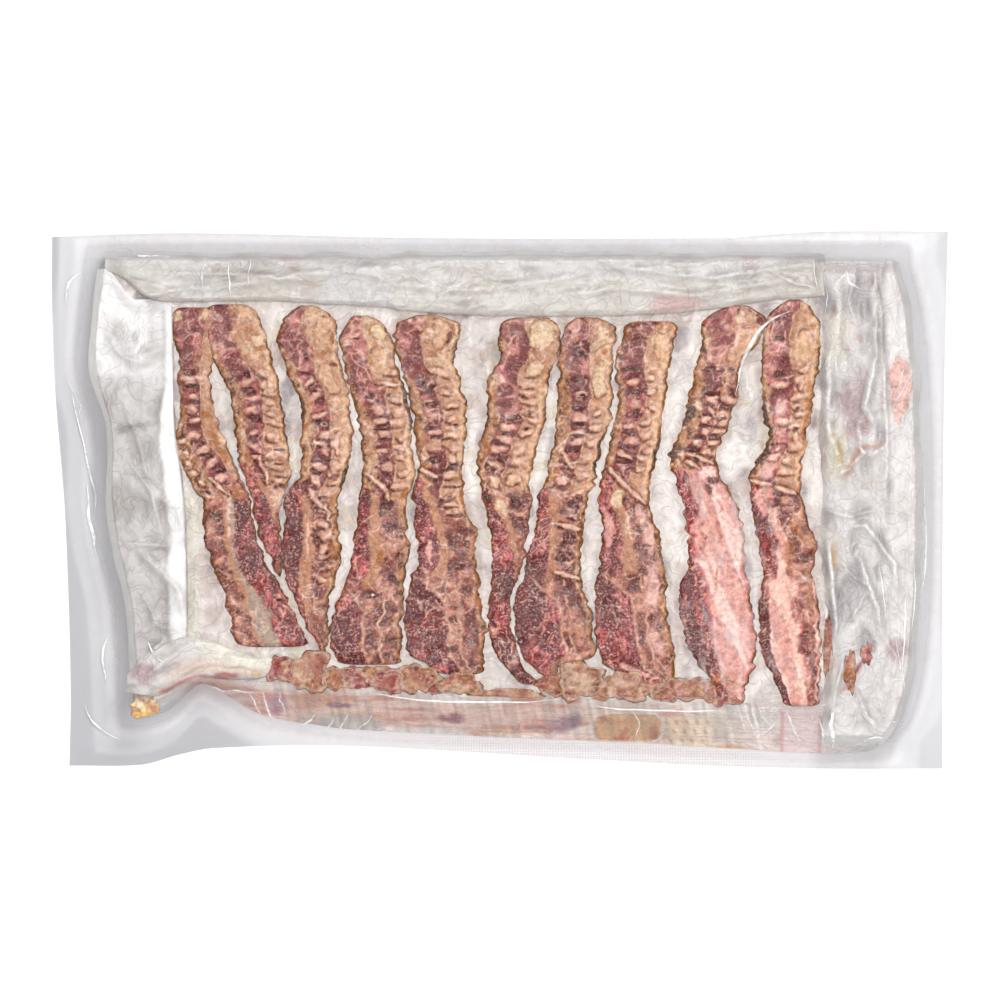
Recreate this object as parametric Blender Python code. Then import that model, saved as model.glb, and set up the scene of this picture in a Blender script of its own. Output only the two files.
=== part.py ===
"""A vacuum pack of cooked bacon: rows of slices on parchment, stacked and sealed flat in a clear bag.

Ten slices lie side by side on the top sheet. Parchment is folded in over them at the left and the back,
crumpled at the right and rolled at the front left corner. The clear bag, with the lower layers in it, is one
solid with a flat sealed margin all round.

Metres, +Z up, +X to the right along the pack, +Y towards the back. The origin is under the middle of the pack,
on the surface it lies on. Run with: blender --background --python part.py
"""

import math

import bmesh
import bpy

MM = 0.001

# Driving sizes, in millimetres.
BAG_WIDTH = 412.0
BAG_DEPTH = 247.0
STACK_TOP = 39.0
GAP = 0.35
SHEET_THICK = 0.8
SLICE_THICK = 3.4
MARGIN_THICK = 1.0
MARGIN_LIFT = 2.6
HEM_LIFT = 0.5

SHEET_Z = STACK_TOP + GAP
SLICE_Z = SHEET_Z + SHEET_THICK + GAP

# The bag's cut edges: (place along the edge, how far the edge runs in from the bag's full size).
BACK_EDGE = ((-206, 2.5), (-147, 0.8), (-37, 3.0), (101, 3.0), (129, 1.2), (152, 0.0), (206, 0.0))
FRONT_EDGE = ((-206, 1.4), (-172, 1.8), (-154, 6.5), (-138, 9.4), (-78, 10.6), (28, 5.0), (92, 1.6), (152, 0.0), (206, 0.0))
LEFT_EDGE = ((-123, 8.0), (-92, 8.6), (-46, 7.6), (0, 5.6), (55, 1.2), (92, 0.0), (123, 0.0))
RIGHT_EDGE = ((-123, 2.6), (-46, 2.6), (46, 1.8), (123, 0.0))

# Where the stack's sides stand: the shoulder is the top's edge, the foot is where the film meets the margin.
LEFT_SHOULDER, LEFT_FOOT = -182.0, -192.0
RIGHT_SHOULDER, RIGHT_FOOT = 185.0, 195.0
BACK_SHOULDER, BACK_FOOT = 109.0, 118.0
FRONT_SHOULDER = ((-182, -96), (-168, -97), (-152, -90), (-138, -83.5), (-108, -84), (-92, -87), (0, -90), (64, -92.5),
                  (145, -95), (158, -106), (190, -107))
FRONT_FOOT = ((-190, -104), (-166, -106), (-150, -101), (-134, -96), (-106, -103), (-78, -108), (0, -113), (92, -117),
              (152, -119), (190, -118))

# The ten slices of the top layer: (y, left edge, right edge) from the head at the back to the tail at the front.
SLICES = {
    "slice_01": ((88.3, -150.9, -133.0), (64.4, -148.1, -132.2), (46.0, -147.2, -131.6), (27.6, -149.0, -126.0),
                 (13.8, -145.4, -119.6), (0.0, -136.6, -115.0), (-18.4, -135.7, -111.0), (-36.8, -128.8, -102.8),
                 (-55.2, -124.2, -93.4), (-67.4, -119.6, -88.0)),
    "slice_02": ((89.7, -132.2, -113.2), (78.2, -132.2, -108.6), (64.4, -130.8, -104.0), (46.0, -123.3, -99.6),
                 (27.6, -121.4, -97.5), (9.2, -117.0, -96.2), (0.0, -113.8, -100.4), (-18.4, -109.7, -100.2),
                 (-35.0, -102.0, -99.9)),
    "slice_03": ((89.2, -93.8, -82.8), (80.5, -100.3, -75.0), (71.3, -102.1, -73.9), (64.4, -99.4, -72.8),
                 (46.0, -92.5, -69.0), (27.6, -90.6, -67.6), (11.5, -92.0, -69.9), (0.0, -99.4, -74.1),
                 (-9.2, -99.4, -75.0), (-27.6, -99.4, -73.1), (-46.0, -94.6, -77.4), (-64.4, -85.0, -79.4),
                 (-70.0, -82.6, -79.6)),
    "slice_04": ((84.6, -69.0, -58.5), (75.9, -73.1, -49.5), (64.4, -71.8, -47.4), (46.0, -67.2, -42.3),
                 (27.6, -63.9, -40.0), (11.5, -63.5, -39.0), (0.0, -65.3, -42.6), (-18.4, -66.7, -41.9),
                 (-36.8, -70.4, -43.4), (-48.3, -75.6, -44.4), (-64.4, -78.2, -45.1), (-74.5, -75.4, -45.1)),
    "slice_05": ((84.9, -39.6, -27.1), (80.5, -46.4, -18.9), (72.7, -48.3, -18.9), (63.5, -46.0, -20.7),
                 (46.0, -40.9, -16.1), (27.6, -38.6, -15.6), (11.5, -37.7, -16.6), (0.0, -40.0, -17.0),
                 (-11.5, -38.6, -12.4), (-27.6, -37.7, -10.6), (-41.4, -41.9, -8.7), (-59.8, -43.7, -6.9),
                 (-71.0, -41.0, -7.4), (-75.0, -34.0, -7.6), (-80.0, -28.0, -8.4)),
    "slice_06": ((83.7, 2.3, 25.6), (74.5, -1.4, 28.2), (65.8, -0.5, 25.4), (55.2, -5.5, 22.1), (36.8, -6.0, 20.7),
                 (25.3, -9.7, 17.9), (9.2, -9.7, 14.3), (0.0, -7.8, 14.7), (-13.8, -5.1, 13.3), (-32.2, -3.7, 9.3),
                 (-46.0, -5.1, 5.4), (-64.4, -4.6, 6.5), (-75.9, 1.4, 10.6), (-84.6, 8.8, 18.0)),
    "slice_07": ((83.7, 33.1, 47.8), (78.2, 29.2, 53.6), (64.4, 26.9, 51.5), (46.0, 26.2, 52.4), (27.6, 24.8, 47.4),
                 (9.2, 20.7, 44.0), (0.0, 17.0, 40.5), (-18.4, 14.8, 37.7), (-34.5, 10.6, 37.3), (-48.3, 6.6, 41.4),
                 (-64.4, 7.8, 42.6), (-72.0, 10.5, 42.5), (-75.5, 14.0, 30.0), (-80.8, 19.0, 26.0)),
    "slice_08": ((81.9, 57.0, 82.8), (71.3, 55.7, 80.0), (64.4, 53.4, 78.7), (46.0, 53.8, 75.9), (27.6, 51.1, 73.1),
                 (11.5, 46.9, 69.9), (0.0, 45.1, 68.5), (-18.4, 46.9, 73.6), (-36.8, 44.6, 75.9), (-55.2, 43.6, 77.3),
                 (-71.3, 45.4, 80.0), (-77.0, 50.0, 80.0), (-81.0, 64.0, 80.0), (-85.0, 66.0, 79.0)),
    "slice_09": ((89.2, 103.5, 116.2), (82.8, 92.9, 121.9), (72.7, 92.0, 118.2), (62.1, 89.2, 110.9),
                 (46.0, 86.5, 109.0), (27.6, 81.0, 102.6), (19.3, 77.7, 98.4), (9.2, 81.0, 102.1), (-4.6, 84.2, 109.9),
                 (-25.3, 86.9, 112.2), (-41.4, 82.8, 114.1), (-59.8, 83.7, 117.0), (-75.9, 91.1, 116.8),
                 (-83.0, 98.6, 113.5), (-90.5, 102.0, 110.0)),
    "slice_10": ((92.0, 131.5, 139.6), (85.1, 123.6, 144.9), (71.3, 120.1, 147.0), (55.2, 119.6, 144.9),
                 (39.1, 121.0, 143.1), (25.3, 122.3, 139.8), (14.7, 115.4, 138.5), (0.0, 115.5, 138.5),
                 (-18.4, 118.7, 144.9), (-34.5, 120.6, 144.0), (-50.6, 118.4, 146.0), (-69.0, 119.8, 147.0),
                 (-82.8, 126.0, 146.5), (-90.5, 130.6, 146.0)),
}
# The back and front edges of the parchment roll at the front left corner.
ROLL_BACK = ((-180, -90.0), (-171, -80.0), (-163, -71.6), (-154, -66.4), (-143, -62.8), (-131, -65.0), (-120, -69.4),
             (-109, -72.4), (-95, -72.2))
ROLL_FRONT = ((-171, -88.4), (-156, -89.4), (-145, -84.0), (-138, -81.6), (-120, -82.6), (-107, -81.0), (-103, -77.4),
              (-99, -75.0), (-95, -73.8))

SLICE_ROWS = 26
SLICE_COLUMNS = 5
SLICE_CAP = 5.0

# Pieces of the slices underneath that show round the top row: (x, y, half width, half depth, height, base).
LOWER_PIECES = (
    (-163.0, -93.9, 6.2, 3.6, 2.0, SLICE_Z),
    (-88.8, -80.4, 9.6, 6.0, 2.8, SLICE_Z),
    (-74.0, -81.6, 4.2, 3.4, 2.0, SLICE_Z),
    (-64.2, -83.2, 4.8, 3.6, 2.3, SLICE_Z),
    (-52.2, -83.6, 6.4, 4.8, 2.3, SLICE_Z),
    (-37.6, -83.2, 6.6, 4.4, 2.6, SLICE_Z),
    (-20.2, -85.8, 8.8, 2.8, 2.0, SLICE_Z),
    (25.0, -85.6, 3.4, 3.2, 2.2, SLICE_Z),
    (37.6, -84.4, 7.8, 6.6, 2.8, SLICE_Z),
    (54.7, -87.2, 7.2, 4.4, 2.6, SLICE_Z),
    (84.6, -88.6, 11.4, 3.2, 2.4, SLICE_Z),
    (150.3, -70.0, 2.2, 20.0, 1.8, SLICE_Z),
    (163.8, -76.4, 7.4, 9.0, 1.0, 45.0),
    (181.6, 53.0, 3.6, 12.4, 1.0, 45.0),
)


def ease(t):
    """0 below 0, 1 above 1, and a smooth step in between."""
    t = min(1.0, max(0.0, t))
    return t * t * (3.0 - 2.0 * t)


def through(points, at):
    """The value at one place of a smooth line through (place, value) points in either order."""
    pts = sorted(points)
    if at <= pts[0][0]:
        return pts[0][1]
    if at >= pts[-1][0]:
        return pts[-1][1]
    i = next(k for k in range(len(pts) - 1) if pts[k + 1][0] >= at)

    def slope(k):
        low, high = pts[max(k - 1, 0)], pts[min(k + 1, len(pts) - 1)]
        return (high[1] - low[1]) / (high[0] - low[0])

    (x0, y0), (x1, y1) = pts[i], pts[i + 1]
    span = x1 - x0
    t = (at - x0) / span
    bend0 = (2 * t**3 - 3 * t**2 + 1) * y0 + (t**3 - 2 * t**2 + t) * span * slope(i)
    bend1 = (3 * t**2 - 2 * t**3) * y1 + (t**3 - t**2) * span * slope(i + 1)
    return bend0 + bend1


def crowded(t):
    """Spreads evenly spaced shares so that they crowd towards 0 and 1."""
    return 0.5 * (t + 0.5 - 0.5 * math.cos(math.pi * t))


def plain(name, colour, roughness, alpha=1.0):
    """A material of one colour."""
    material = bpy.data.materials.new(name)
    material.use_nodes = True
    shader = material.node_tree.nodes["Principled BSDF"]
    shader.inputs["Base Color"].default_value = (*colour, 1.0)
    shader.inputs["Roughness"].default_value = roughness
    shader.inputs["Metallic"].default_value = 0.0
    shader.inputs["Alpha"].default_value = alpha
    return material


def slab(name, columns, rows, top, under, material, parent):
    """A closed solid under a grid: top(u, v) gives its points and under(x, y) the height of its underside."""
    shape = bmesh.new()
    bmesh.ops.create_grid(shape, x_segments=columns, y_segments=rows, size=0.5)
    lower = set(shape.verts)
    bmesh.ops.extrude_face_region(shape, geom=shape.faces[:], use_keep_orig=True)
    for vert in shape.verts:
        x, y, z = top(vert.co.x + 0.5, vert.co.y + 0.5)
        vert.co = (x * MM, y * MM, (under(x, y) if vert in lower else z) * MM)
    flat = [e for e in shape.edges if set(e.verts) <= lower]
    bmesh.ops.recalc_face_normals(shape, faces=shape.faces)
    bmesh.ops.dissolve_limit(shape, angle_limit=math.radians(0.1), edges=flat, verts=list(lower))
    bmesh.ops.triangulate(shape, faces=shape.faces)
    mesh = bpy.data.meshes.new(name)
    shape.to_mesh(mesh)
    shape.free()
    mesh.shade_smooth()
    mesh.set_sharp_from_angle(angle=math.radians(40))
    mesh.materials.append(material)
    obj = bpy.data.objects.new(name, mesh)
    bpy.context.scene.collection.objects.link(obj)
    obj.parent = parent
    return obj


def bag_point(u, v):
    """A point of the bag's plan, between its four cut edges."""
    u, v = crowded(u), crowded(v)
    half_w, half_d = BAG_WIDTH / 2, BAG_DEPTH / 2
    along_x, along_y = (2 * u - 1) * half_w, (2 * v - 1) * half_d
    left = -half_w + through(LEFT_EDGE, along_y)
    right = half_w - through(RIGHT_EDGE, along_y)
    front = -half_d + through(FRONT_EDGE, along_x)
    back = half_d - through(BACK_EDGE, along_x)
    return left + (right - left) * u, front + (back - front) * v


def stack_share(x, y):
    """How far up the stack's side a point is: 0 on the margin, 1 on the stack's top."""
    front_foot, front_shoulder = through(FRONT_FOOT, x), through(FRONT_SHOULDER, x)
    sides = (
        (x - LEFT_FOOT) / (LEFT_SHOULDER - LEFT_FOOT),
        (RIGHT_FOOT - x) / (RIGHT_FOOT - RIGHT_SHOULDER),
        (BACK_FOOT - y) / (BACK_FOOT - BACK_SHOULDER),
        (y - front_foot) / (front_shoulder - front_foot),
    )
    return ease(min(sides))


def margin_under(x, y):
    """The underside of the sealed margin: lifted beside the stack, down near the cut edge."""
    inset = min(BAG_WIDTH / 2 - abs(x), BAG_DEPTH / 2 - abs(y))
    ripple = 0.4 * math.sin(x / 23.0) * math.sin(y / 17.0 + 1.0)
    return HEM_LIFT + (MARGIN_LIFT - HEM_LIFT + ripple) * ease(inset / 14.0)


def bag_top(u, v):
    x, y = bag_point(u, v)
    margin = margin_under(x, y) + MARGIN_THICK
    return x, y, margin + (STACK_TOP - margin) * stack_share(x, y)


def bag_under(x, y):
    return margin_under(x, y) * (1.0 - ease(stack_share(x, y) / 0.25))


def sheet_top(u, v):
    """The top sheet, flat under the slices, cut back along the stack's front shoulder."""
    x = -178.0 + 325.5 * u
    front = through(FRONT_SHOULDER, x) + 2.0
    return x, front + (107.0 - front) * v, SHEET_Z + SHEET_THICK


def left_flap_top(u, v):
    """The sheet folded in from the left: a puffed fold whose free edge stands over the slices."""
    outer, free = -180.0, ((-72, -143.4), (-20, -144.4), (10, -146.9), (30, -150.6), (84, -152.4))
    share = crowded(u)
    front = through(ROLL_BACK, outer + 36.0 * share) + 0.8
    y = front + (84.0 - front) * v
    x = outer + (through(free, y) - outer) * share
    puff = ease(u / 0.16) * ease((1.0 - v) / 0.12) * ease(v / 0.12)
    crease = 0.7 * math.sin(y / 13.0 + u * 2.5) * math.sin(math.pi * u)
    return x, y, SLICE_Z + 0.8 + (2.6 + crease + 1.1 * ease((u - 0.55) / 0.35)) * puff


def back_flap_top(u, v):
    """The sheet folded in from the back, its free edge along the slices' heads."""
    x = -180.0 + 325.0 * u
    inner = through(((-180, 87.5), (-151, 90.2), (-110, 91.3), (-60, 88.6), (-15, 85.0), (50, 84.4),
                     (90, 86.6), (116, 90.6), (145, 93.5)), x)
    y = inner + 0.6 + (109.5 - inner) * crowded(v)
    puff = ease((1.0 - v) / 0.3) * ease(u / 0.03) * ease((1.0 - u) / 0.03)
    crease = 0.5 * math.sin(x / 15.0) * math.sin(math.pi * v)
    return x, y, SLICE_Z + 0.8 + (3.4 + crease) * puff


def right_fold_top(u, v):
    """The loose right edge of the sheets, crumpled into long folds from back to front."""
    y = -102.0 + 209.0 * v
    inner = through(((-102, 153.6), (-52, 153.6), (-44, 149.6), (-20, 148.4), (107, 148.2)), y)
    x = inner + (185.5 - inner) * u
    folds = 1.2 * math.sin(u * 9.5 + 1.2 * math.sin(y / 34.0)) + 0.5 * math.sin(y / 11.0 + u * 4.0)
    edge = ease(u / 0.12) * ease((1.0 - u) / 0.12) * ease(v / 0.05) * ease((1.0 - v) / 0.05)
    return x, y, SHEET_Z + 1.0 + (2.4 + folds) * edge


def roll_top(u, v):
    """The front left corner of the sheet, rolled up and drawn out to a tip over the slices' tails."""
    x = -171.0 + 75.5 * u
    back, front = through(ROLL_BACK, x), through(ROLL_FRONT, x)
    y = front + (back - front) * v
    crown = math.sin(math.pi * (0.08 + 0.84 * v))
    return x, y, SLICE_Z + 0.8 + 4.4 * crown * ease((1.0 - u) / 0.5) * ease((u + 0.12) / 0.2)


def slice_top(stations, seed):
    """The top of one slice: rounded in section, thinner at its edges and gently buckled along its length."""
    first, last = stations[0][0], stations[-1][0]
    lefts = [(s[0], s[1]) for s in stations]
    rights = [(s[0], s[2]) for s in stations]

    def top(u, v):
        y = last + (first - last) * crowded(v)
        left, right = through(lefts, y), through(rights, y)
        from_end = min(first - y, y - last)
        full = 0.5 + 0.5 * math.sqrt(max(0.0, 1.0 - (1.0 - min(1.0, from_end / SLICE_CAP)) ** 2))
        middle, half = (left + right) / 2, (right - left) / 2 * full
        x = middle + half * (2.0 * u - 1.0)
        round_over = math.sqrt(max(0.0, 1.0 - (2.0 * u - 1.0) ** 4))
        buckle = 0.35 * math.sin(y / 5.2 + seed) + 0.25 * math.sin(y / 11.0 + 2.3 * seed + 3.0 * u)
        body = SLICE_THICK * (0.45 + 0.45 * round_over * full) + buckle * round_over
        return x, y, SLICE_Z + body

    return top


def mound_top(x0, y0, half_w, half_d, height, base):
    """A low rounded lump, square in plan with round corners."""

    def top(u, v):
        a, b = 2.0 * u - 1.0, 2.0 * v - 1.0
        x = x0 + half_w * a * math.sqrt(1.0 - 0.35 * b * b)
        y = y0 + half_d * b * math.sqrt(1.0 - 0.35 * a * a)
        crown = (1.0 - a**4) * (1.0 - b**4)
        return x, y, base + 0.3 + height * crown

    return top


def level(z):
    """A flat underside."""
    return lambda x, y: z


def build():
    for obj in list(bpy.data.objects):
        bpy.data.objects.remove(obj)
    film = plain("clear_film", (0.86, 0.86, 0.87), 0.12, 0.6)
    parchment = plain("greasy_parchment", (0.78, 0.76, 0.72), 0.55)
    bacon = plain("cooked_bacon", (0.52, 0.22, 0.18), 0.35)
    fat = plain("cooked_fat", (0.72, 0.47, 0.33), 0.35)

    pack = bpy.data.objects.new("bacon_pack", None)
    bpy.context.scene.collection.objects.link(pack)

    slab("vacuum_bag", 38, 26, bag_top, bag_under, film, pack)
    slab("parchment_sheet", 16, 6, sheet_top, level(SHEET_Z), parchment, pack)
    slab("parchment_flap_left", 7, 12, left_flap_top, level(SLICE_Z), parchment, pack)
    slab("parchment_flap_back", 22, 5, back_flap_top, level(SLICE_Z), parchment, pack)
    slab("parchment_fold_right", 9, 18, right_fold_top, level(SHEET_Z), parchment, pack)
    slab("parchment_roll_front", 12, 6, roll_top, level(SLICE_Z), parchment, pack)
    for number, (name, stations) in enumerate(SLICES.items()):
        slab(name, SLICE_COLUMNS, SLICE_ROWS, slice_top(stations, 1.7 * number), level(SLICE_Z), bacon, pack)
    for number, piece in enumerate(LOWER_PIECES, 1):
        slab(f"lower_piece_{number:02d}", 4, 4, mound_top(*piece), level(piece[-1]), fat, pack)


build()
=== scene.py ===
"""Looks for the vacuum pack of cooked bacon: slices, parchment, stacked layers and the clear film.

Sizes inside the functions are in millimetres: x to the right, y towards the back, z up from the table.
"""

import math

import bmesh
import bpy
import numpy as np
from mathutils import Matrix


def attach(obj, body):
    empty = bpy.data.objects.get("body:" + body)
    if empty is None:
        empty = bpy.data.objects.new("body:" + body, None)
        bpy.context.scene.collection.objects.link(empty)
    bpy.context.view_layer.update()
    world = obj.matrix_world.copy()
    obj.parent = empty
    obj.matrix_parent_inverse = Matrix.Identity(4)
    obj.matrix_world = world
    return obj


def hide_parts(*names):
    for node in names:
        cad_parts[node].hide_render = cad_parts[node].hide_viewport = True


MM = 0.001
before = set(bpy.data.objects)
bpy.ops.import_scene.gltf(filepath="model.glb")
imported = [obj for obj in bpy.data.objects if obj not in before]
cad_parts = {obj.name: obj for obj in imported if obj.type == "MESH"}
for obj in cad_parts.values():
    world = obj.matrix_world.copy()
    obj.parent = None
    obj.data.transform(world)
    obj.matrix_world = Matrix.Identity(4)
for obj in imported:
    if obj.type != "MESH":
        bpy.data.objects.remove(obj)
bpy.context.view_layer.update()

# Heights: the top of the sheet, the bed of the slices, and the undersides of the pieces that have one.
SHEET_Z, SLICE_Z = 40.15, 40.5
SHEET_BASE, FLAP_BASE, FOLD_BASE, FILM_BASE = 39.4, 11.0, 10.0, 0.15
WALL_DROP = 27.0
HALF_WIDTH, HALF_DEPTH = 206.0, 123.5
SHARP_ANGLE = math.radians(60.0)

# Columns and rows of faces.
SLICE_GRID, END_GRID, STACK_GRID, FILM_GRID = (70, 390), (34, 34), (1400, 56), (400, 240)
SHEET_GRID, LEFT_GRID, BACK_GRID = (390, 240), (70, 300), (560, 50)
RIGHT_GRID, ROLL_GRID = (90, 400), (150, 54)

# The bag's cut edges: (place along the edge, how far the edge runs in from the bag's full size).
BACK_EDGE = ((-206, 2.5), (-147, 0.8), (-37, 3.0), (101, 3.0), (129, 1.2), (152, 0.0), (206, 0.0))
FRONT_EDGE = (
    (-206, 1.4), (-172, 1.8), (-154, 6.5), (-138, 9.4), (-78, 10.6), (28, 5.0), (92, 1.6), (152, 0.0),
    (206, 0.0),
)
LEFT_EDGE = ((-123, 8.0), (-92, 8.6), (-46, 7.6), (0, 5.6), (55, 1.2), (92, 0.0), (123, 0.0))
RIGHT_EDGE = ((-123, 2.6), (-46, 2.6), (46, 1.8), (123, 0.0))
FRONT_SHOULDER = (
    (-182, -96), (-168, -97), (-152, -90), (-138, -81.5), (-111, -84.6), (-82, -85.6), (-43, -88.3),
    (-9, -92), (19, -89.7), (45, -92.5), (104, -94.3), (147, -95), (160, -104), (190, -106),
)
FRONT_FOOT = (
    (-190, -101), (-166, -102), (-150, -97), (-138, -84.5), (-130, -88.5), (-120, -95), (-112, -100),
    (-95, -103.5), (-53, -108), (0, -110.5), (45, -112), (70, -113.6), (114, -116), (152, -118),
    (190, -116),
)
# The stack's left and right shoulders: (y, x). The film's foot lies a little way out from them.
LEFT_SIDE = (
    (-110, -166), (-60, -168.5), (-46, -170), (-20, -176), (0, -178.5), (32, -178.5), (60, -186),
    (84, -185), (109, -182),
)
RIGHT_SIDE = (
    (-112, 172), (-100, 181), (-72, 187.5), (-30, 190.5), (30, 190.5), (70, 188), (95, 184), (109, 180),
)
SIDE_SPREAD = 6.0
BACK_SHOULDER, BACK_FOOT = 109.0, 115.5
ROLL_BACK = (
    (-180, -90.0), (-171, -80.0), (-163, -71.6), (-154, -66.4), (-143, -62.8), (-131, -65.0), (-120, -69.4),
    (-109, -72.4), (-95, -72.2),
)
ROLL_FRONT = (
    (-171, -88.4), (-156, -89.4), (-145, -84.0), (-138, -81.6), (-120, -82.6), (-107, -81.0), (-103, -77.4),
    (-99, -75.0), (-95, -73.8),
)

# The ten slices: (y, left edge, right edge) from head to tail.
SLICES = {
    "slice_01": ((88.3, -150.9, -130.4), (66.0, -148.1, -130.2), (57.0, -147.6, -132.6),
        (46.0, -147.2, -131.6), (27.6, -149.0, -126.0), (13.8, -145.4, -119.6), (0.0, -136.6, -115.0),
        (-18.4, -135.7, -111.0), (-36.8, -128.8, -102.8), (-55.2, -124.2, -93.4), (-67.4, -119.6, -88.0)),
    "slice_02": ((89.7, -134.4, -113.2), (78.2, -134.6, -108.6), (66.0, -132.4, -104.4),
        (58.0, -128.4, -102.0), (46.0, -123.3, -99.6), (27.6, -121.4, -97.5), (9.2, -117.0, -96.2),
        (0.0, -113.8, -100.4), (-18.4, -109.7, -100.2), (-35.0, -102.0, -99.9)),
    "slice_03": ((89.2, -93.8, -82.8), (80.5, -100.3, -75.0), (71.3, -102.1, -73.9),
        (64.4, -99.4, -72.8), (46.0, -92.5, -69.0), (27.6, -90.6, -67.6), (11.5, -92.0, -69.9),
        (0.0, -99.4, -74.1), (-9.2, -99.4, -75.0), (-27.6, -99.4, -73.1), (-46.0, -94.6, -77.4),
        (-64.4, -85.0, -79.4), (-70.0, -82.6, -79.6)),
    "slice_04": ((84.6, -69.0, -58.5), (75.9, -73.1, -49.5), (64.4, -71.8, -47.4), (46.0, -67.2, -42.3),
        (27.6, -63.9, -40.0), (11.5, -63.5, -39.0), (0.0, -65.3, -42.6), (-18.4, -66.7, -41.9),
        (-36.8, -70.4, -43.4), (-48.3, -75.6, -44.4), (-64.4, -78.2, -45.1), (-75.6, -74.4, -45.1)),
    "slice_05": ((84.9, -39.6, -27.1), (80.5, -46.4, -18.9), (72.7, -48.3, -18.9), (63.5, -46.0, -20.7),
        (46.0, -40.9, -16.1), (27.6, -38.6, -15.6), (11.5, -37.7, -16.6), (0.0, -40.0, -17.0),
        (-11.5, -38.6, -12.4), (-27.6, -37.7, -10.6), (-41.4, -41.9, -8.7), (-59.8, -43.7, -6.9),
        (-71.0, -41.0, -7.4), (-75.0, -34.0, -7.6), (-80.0, -28.0, -8.4)),
    "slice_06": ((83.7, 2.3, 25.6), (74.5, -1.4, 28.2), (65.8, -0.5, 25.4), (55.2, -5.5, 22.1),
        (36.8, -6.0, 20.7), (25.3, -9.7, 17.9), (9.2, -9.7, 14.3), (0.0, -7.8, 14.7), (-13.8, -5.1, 13.3),
        (-32.2, -3.7, 9.3), (-46.0, -5.1, 5.4), (-64.4, -4.6, 6.5), (-75.9, 1.4, 10.6), (-84.6, 8.8, 18.0)),
    "slice_07": ((83.7, 33.1, 47.8), (78.2, 29.2, 53.6), (64.4, 26.9, 51.5), (46.0, 26.2, 52.4),
        (27.6, 24.8, 47.4), (9.2, 20.7, 44.0), (0.0, 17.0, 40.5), (-18.4, 14.8, 37.7), (-34.5, 10.6, 37.3),
        (-48.3, 6.6, 41.4), (-64.4, 7.8, 42.6), (-72.0, 10.5, 42.5), (-75.5, 14.0, 30.0),
        (-80.8, 19.0, 26.0)),
    "slice_08": ((81.9, 57.0, 82.8), (71.3, 55.7, 80.0), (64.4, 53.4, 78.7), (46.0, 53.8, 75.9),
        (27.6, 51.1, 73.1), (11.5, 46.9, 69.9), (0.0, 45.1, 68.5), (-18.4, 46.9, 73.6), (-36.8, 44.6, 75.9),
        (-55.2, 43.6, 77.3), (-71.3, 45.4, 80.0), (-77.0, 50.0, 80.0), (-81.0, 64.0, 80.0),
        (-85.0, 66.0, 79.0)),
    "slice_09": ((89.2, 103.5, 116.2), (82.8, 92.9, 121.9), (72.7, 92.0, 118.2), (62.1, 89.2, 110.9),
        (46.0, 86.5, 109.0), (27.6, 81.0, 102.6), (19.3, 77.7, 98.4), (9.2, 81.0, 102.1),
        (-4.6, 84.2, 109.9), (-25.3, 86.9, 112.2), (-41.4, 82.8, 114.1), (-59.8, 83.7, 117.0),
        (-75.9, 91.1, 116.8), (-83.0, 97.0, 114.5), (-93.0, 100.0, 111.4)),
    "slice_10": ((92.0, 131.5, 139.6), (85.1, 123.6, 144.9), (71.3, 120.1, 147.0), (55.2, 119.6, 144.9),
        (39.1, 121.0, 143.1), (25.3, 122.3, 139.8), (14.7, 115.4, 138.5), (0.0, 115.5, 138.5),
        (-18.4, 118.7, 144.9), (-34.5, 120.6, 144.0), (-50.6, 118.4, 146.0), (-69.0, 119.8, 147.0),
        (-82.8, 126.0, 146.5), (-94.6, 130.6, 146.8)),
}

# Ends of lower slices: (x, y, half width, half depth, height, base, look). The first fourteen stand for
# nodes.
ENDS = (
    (-162.8, -93.8, 6.4, 6.0, 0.7, SLICE_Z, "tip"),
    (-88.4, -78.6, 11.8, 9.4, 2.3, SLICE_Z, "fat"),
    (-74.4, -81.4, 8.6, 5.2, 1.7, SLICE_Z, "toast"),
    (-65.0, -82.0, 7.4, 5.0, 1.9, SLICE_Z, "lean"),
    (-50.6, -83.0, 9.4, 5.4, 2.0, SLICE_Z, "lean"),
    (-37.6, -81.4, 10.0, 6.6, 2.3, SLICE_Z, "fat"),
    (-18.6, -84.2, 10.4, 5.0, 2.0, SLICE_Z, "fat"),
    (24.6, -84.6, 8.0, 5.0, 2.1, SLICE_Z, "toast"),
    (37.4, -82.4, 11.4, 9.0, 2.6, SLICE_Z, "fat"),
    (56.4, -85.2, 11.0, 7.0, 2.4, SLICE_Z, "fat"),
    (86.6, -86.4, 11.0, 5.4, 2.2, SLICE_Z, "fat"),
    (150.4, -67.0, 2.4, 13.5, 1.6, SLICE_Z, "brown"),
    (160.4, -78.6, 2.6, 9.6, 0.8, 44.9, "toast"),
    (183.6, 52.0, 5.0, 14.0, 0.3, 44.4, "blush"),
    (-100.6, -78.0, 6.4, 5.8, 2.0, SLICE_Z, "lean"),
    (-57.0, -80.0, 6.6, 4.0, 1.7, SLICE_Z, "toast"),
    (-29.0, -85.0, 5.6, 4.0, 2.2, SLICE_Z, "lean"),
    (3.0, -88.6, 17.0, 2.0, 1.2, SLICE_Z, "fat"),
    (46.6, -88.4, 6.0, 3.4, 1.9, SLICE_Z, "toast"),
    (70.0, -82.6, 8.0, 6.6, 2.2, SLICE_Z, "fat"),
    (75.6, -88.6, 7.0, 4.4, 2.0, SLICE_Z, "toast"),
    (96.6, -87.4, 8.0, 5.2, 2.1, SLICE_Z, "toast"),
    (104.4, -88.0, 7.0, 6.6, 2.2, SLICE_Z, "lean"),
    (168.0, -70.6, 2.6, 4.8, 0.5, 44.9, "lean"),
)
NODE_ENDS = 14


# ---- small tools ---------------------------------------------------------------------------------------

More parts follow.
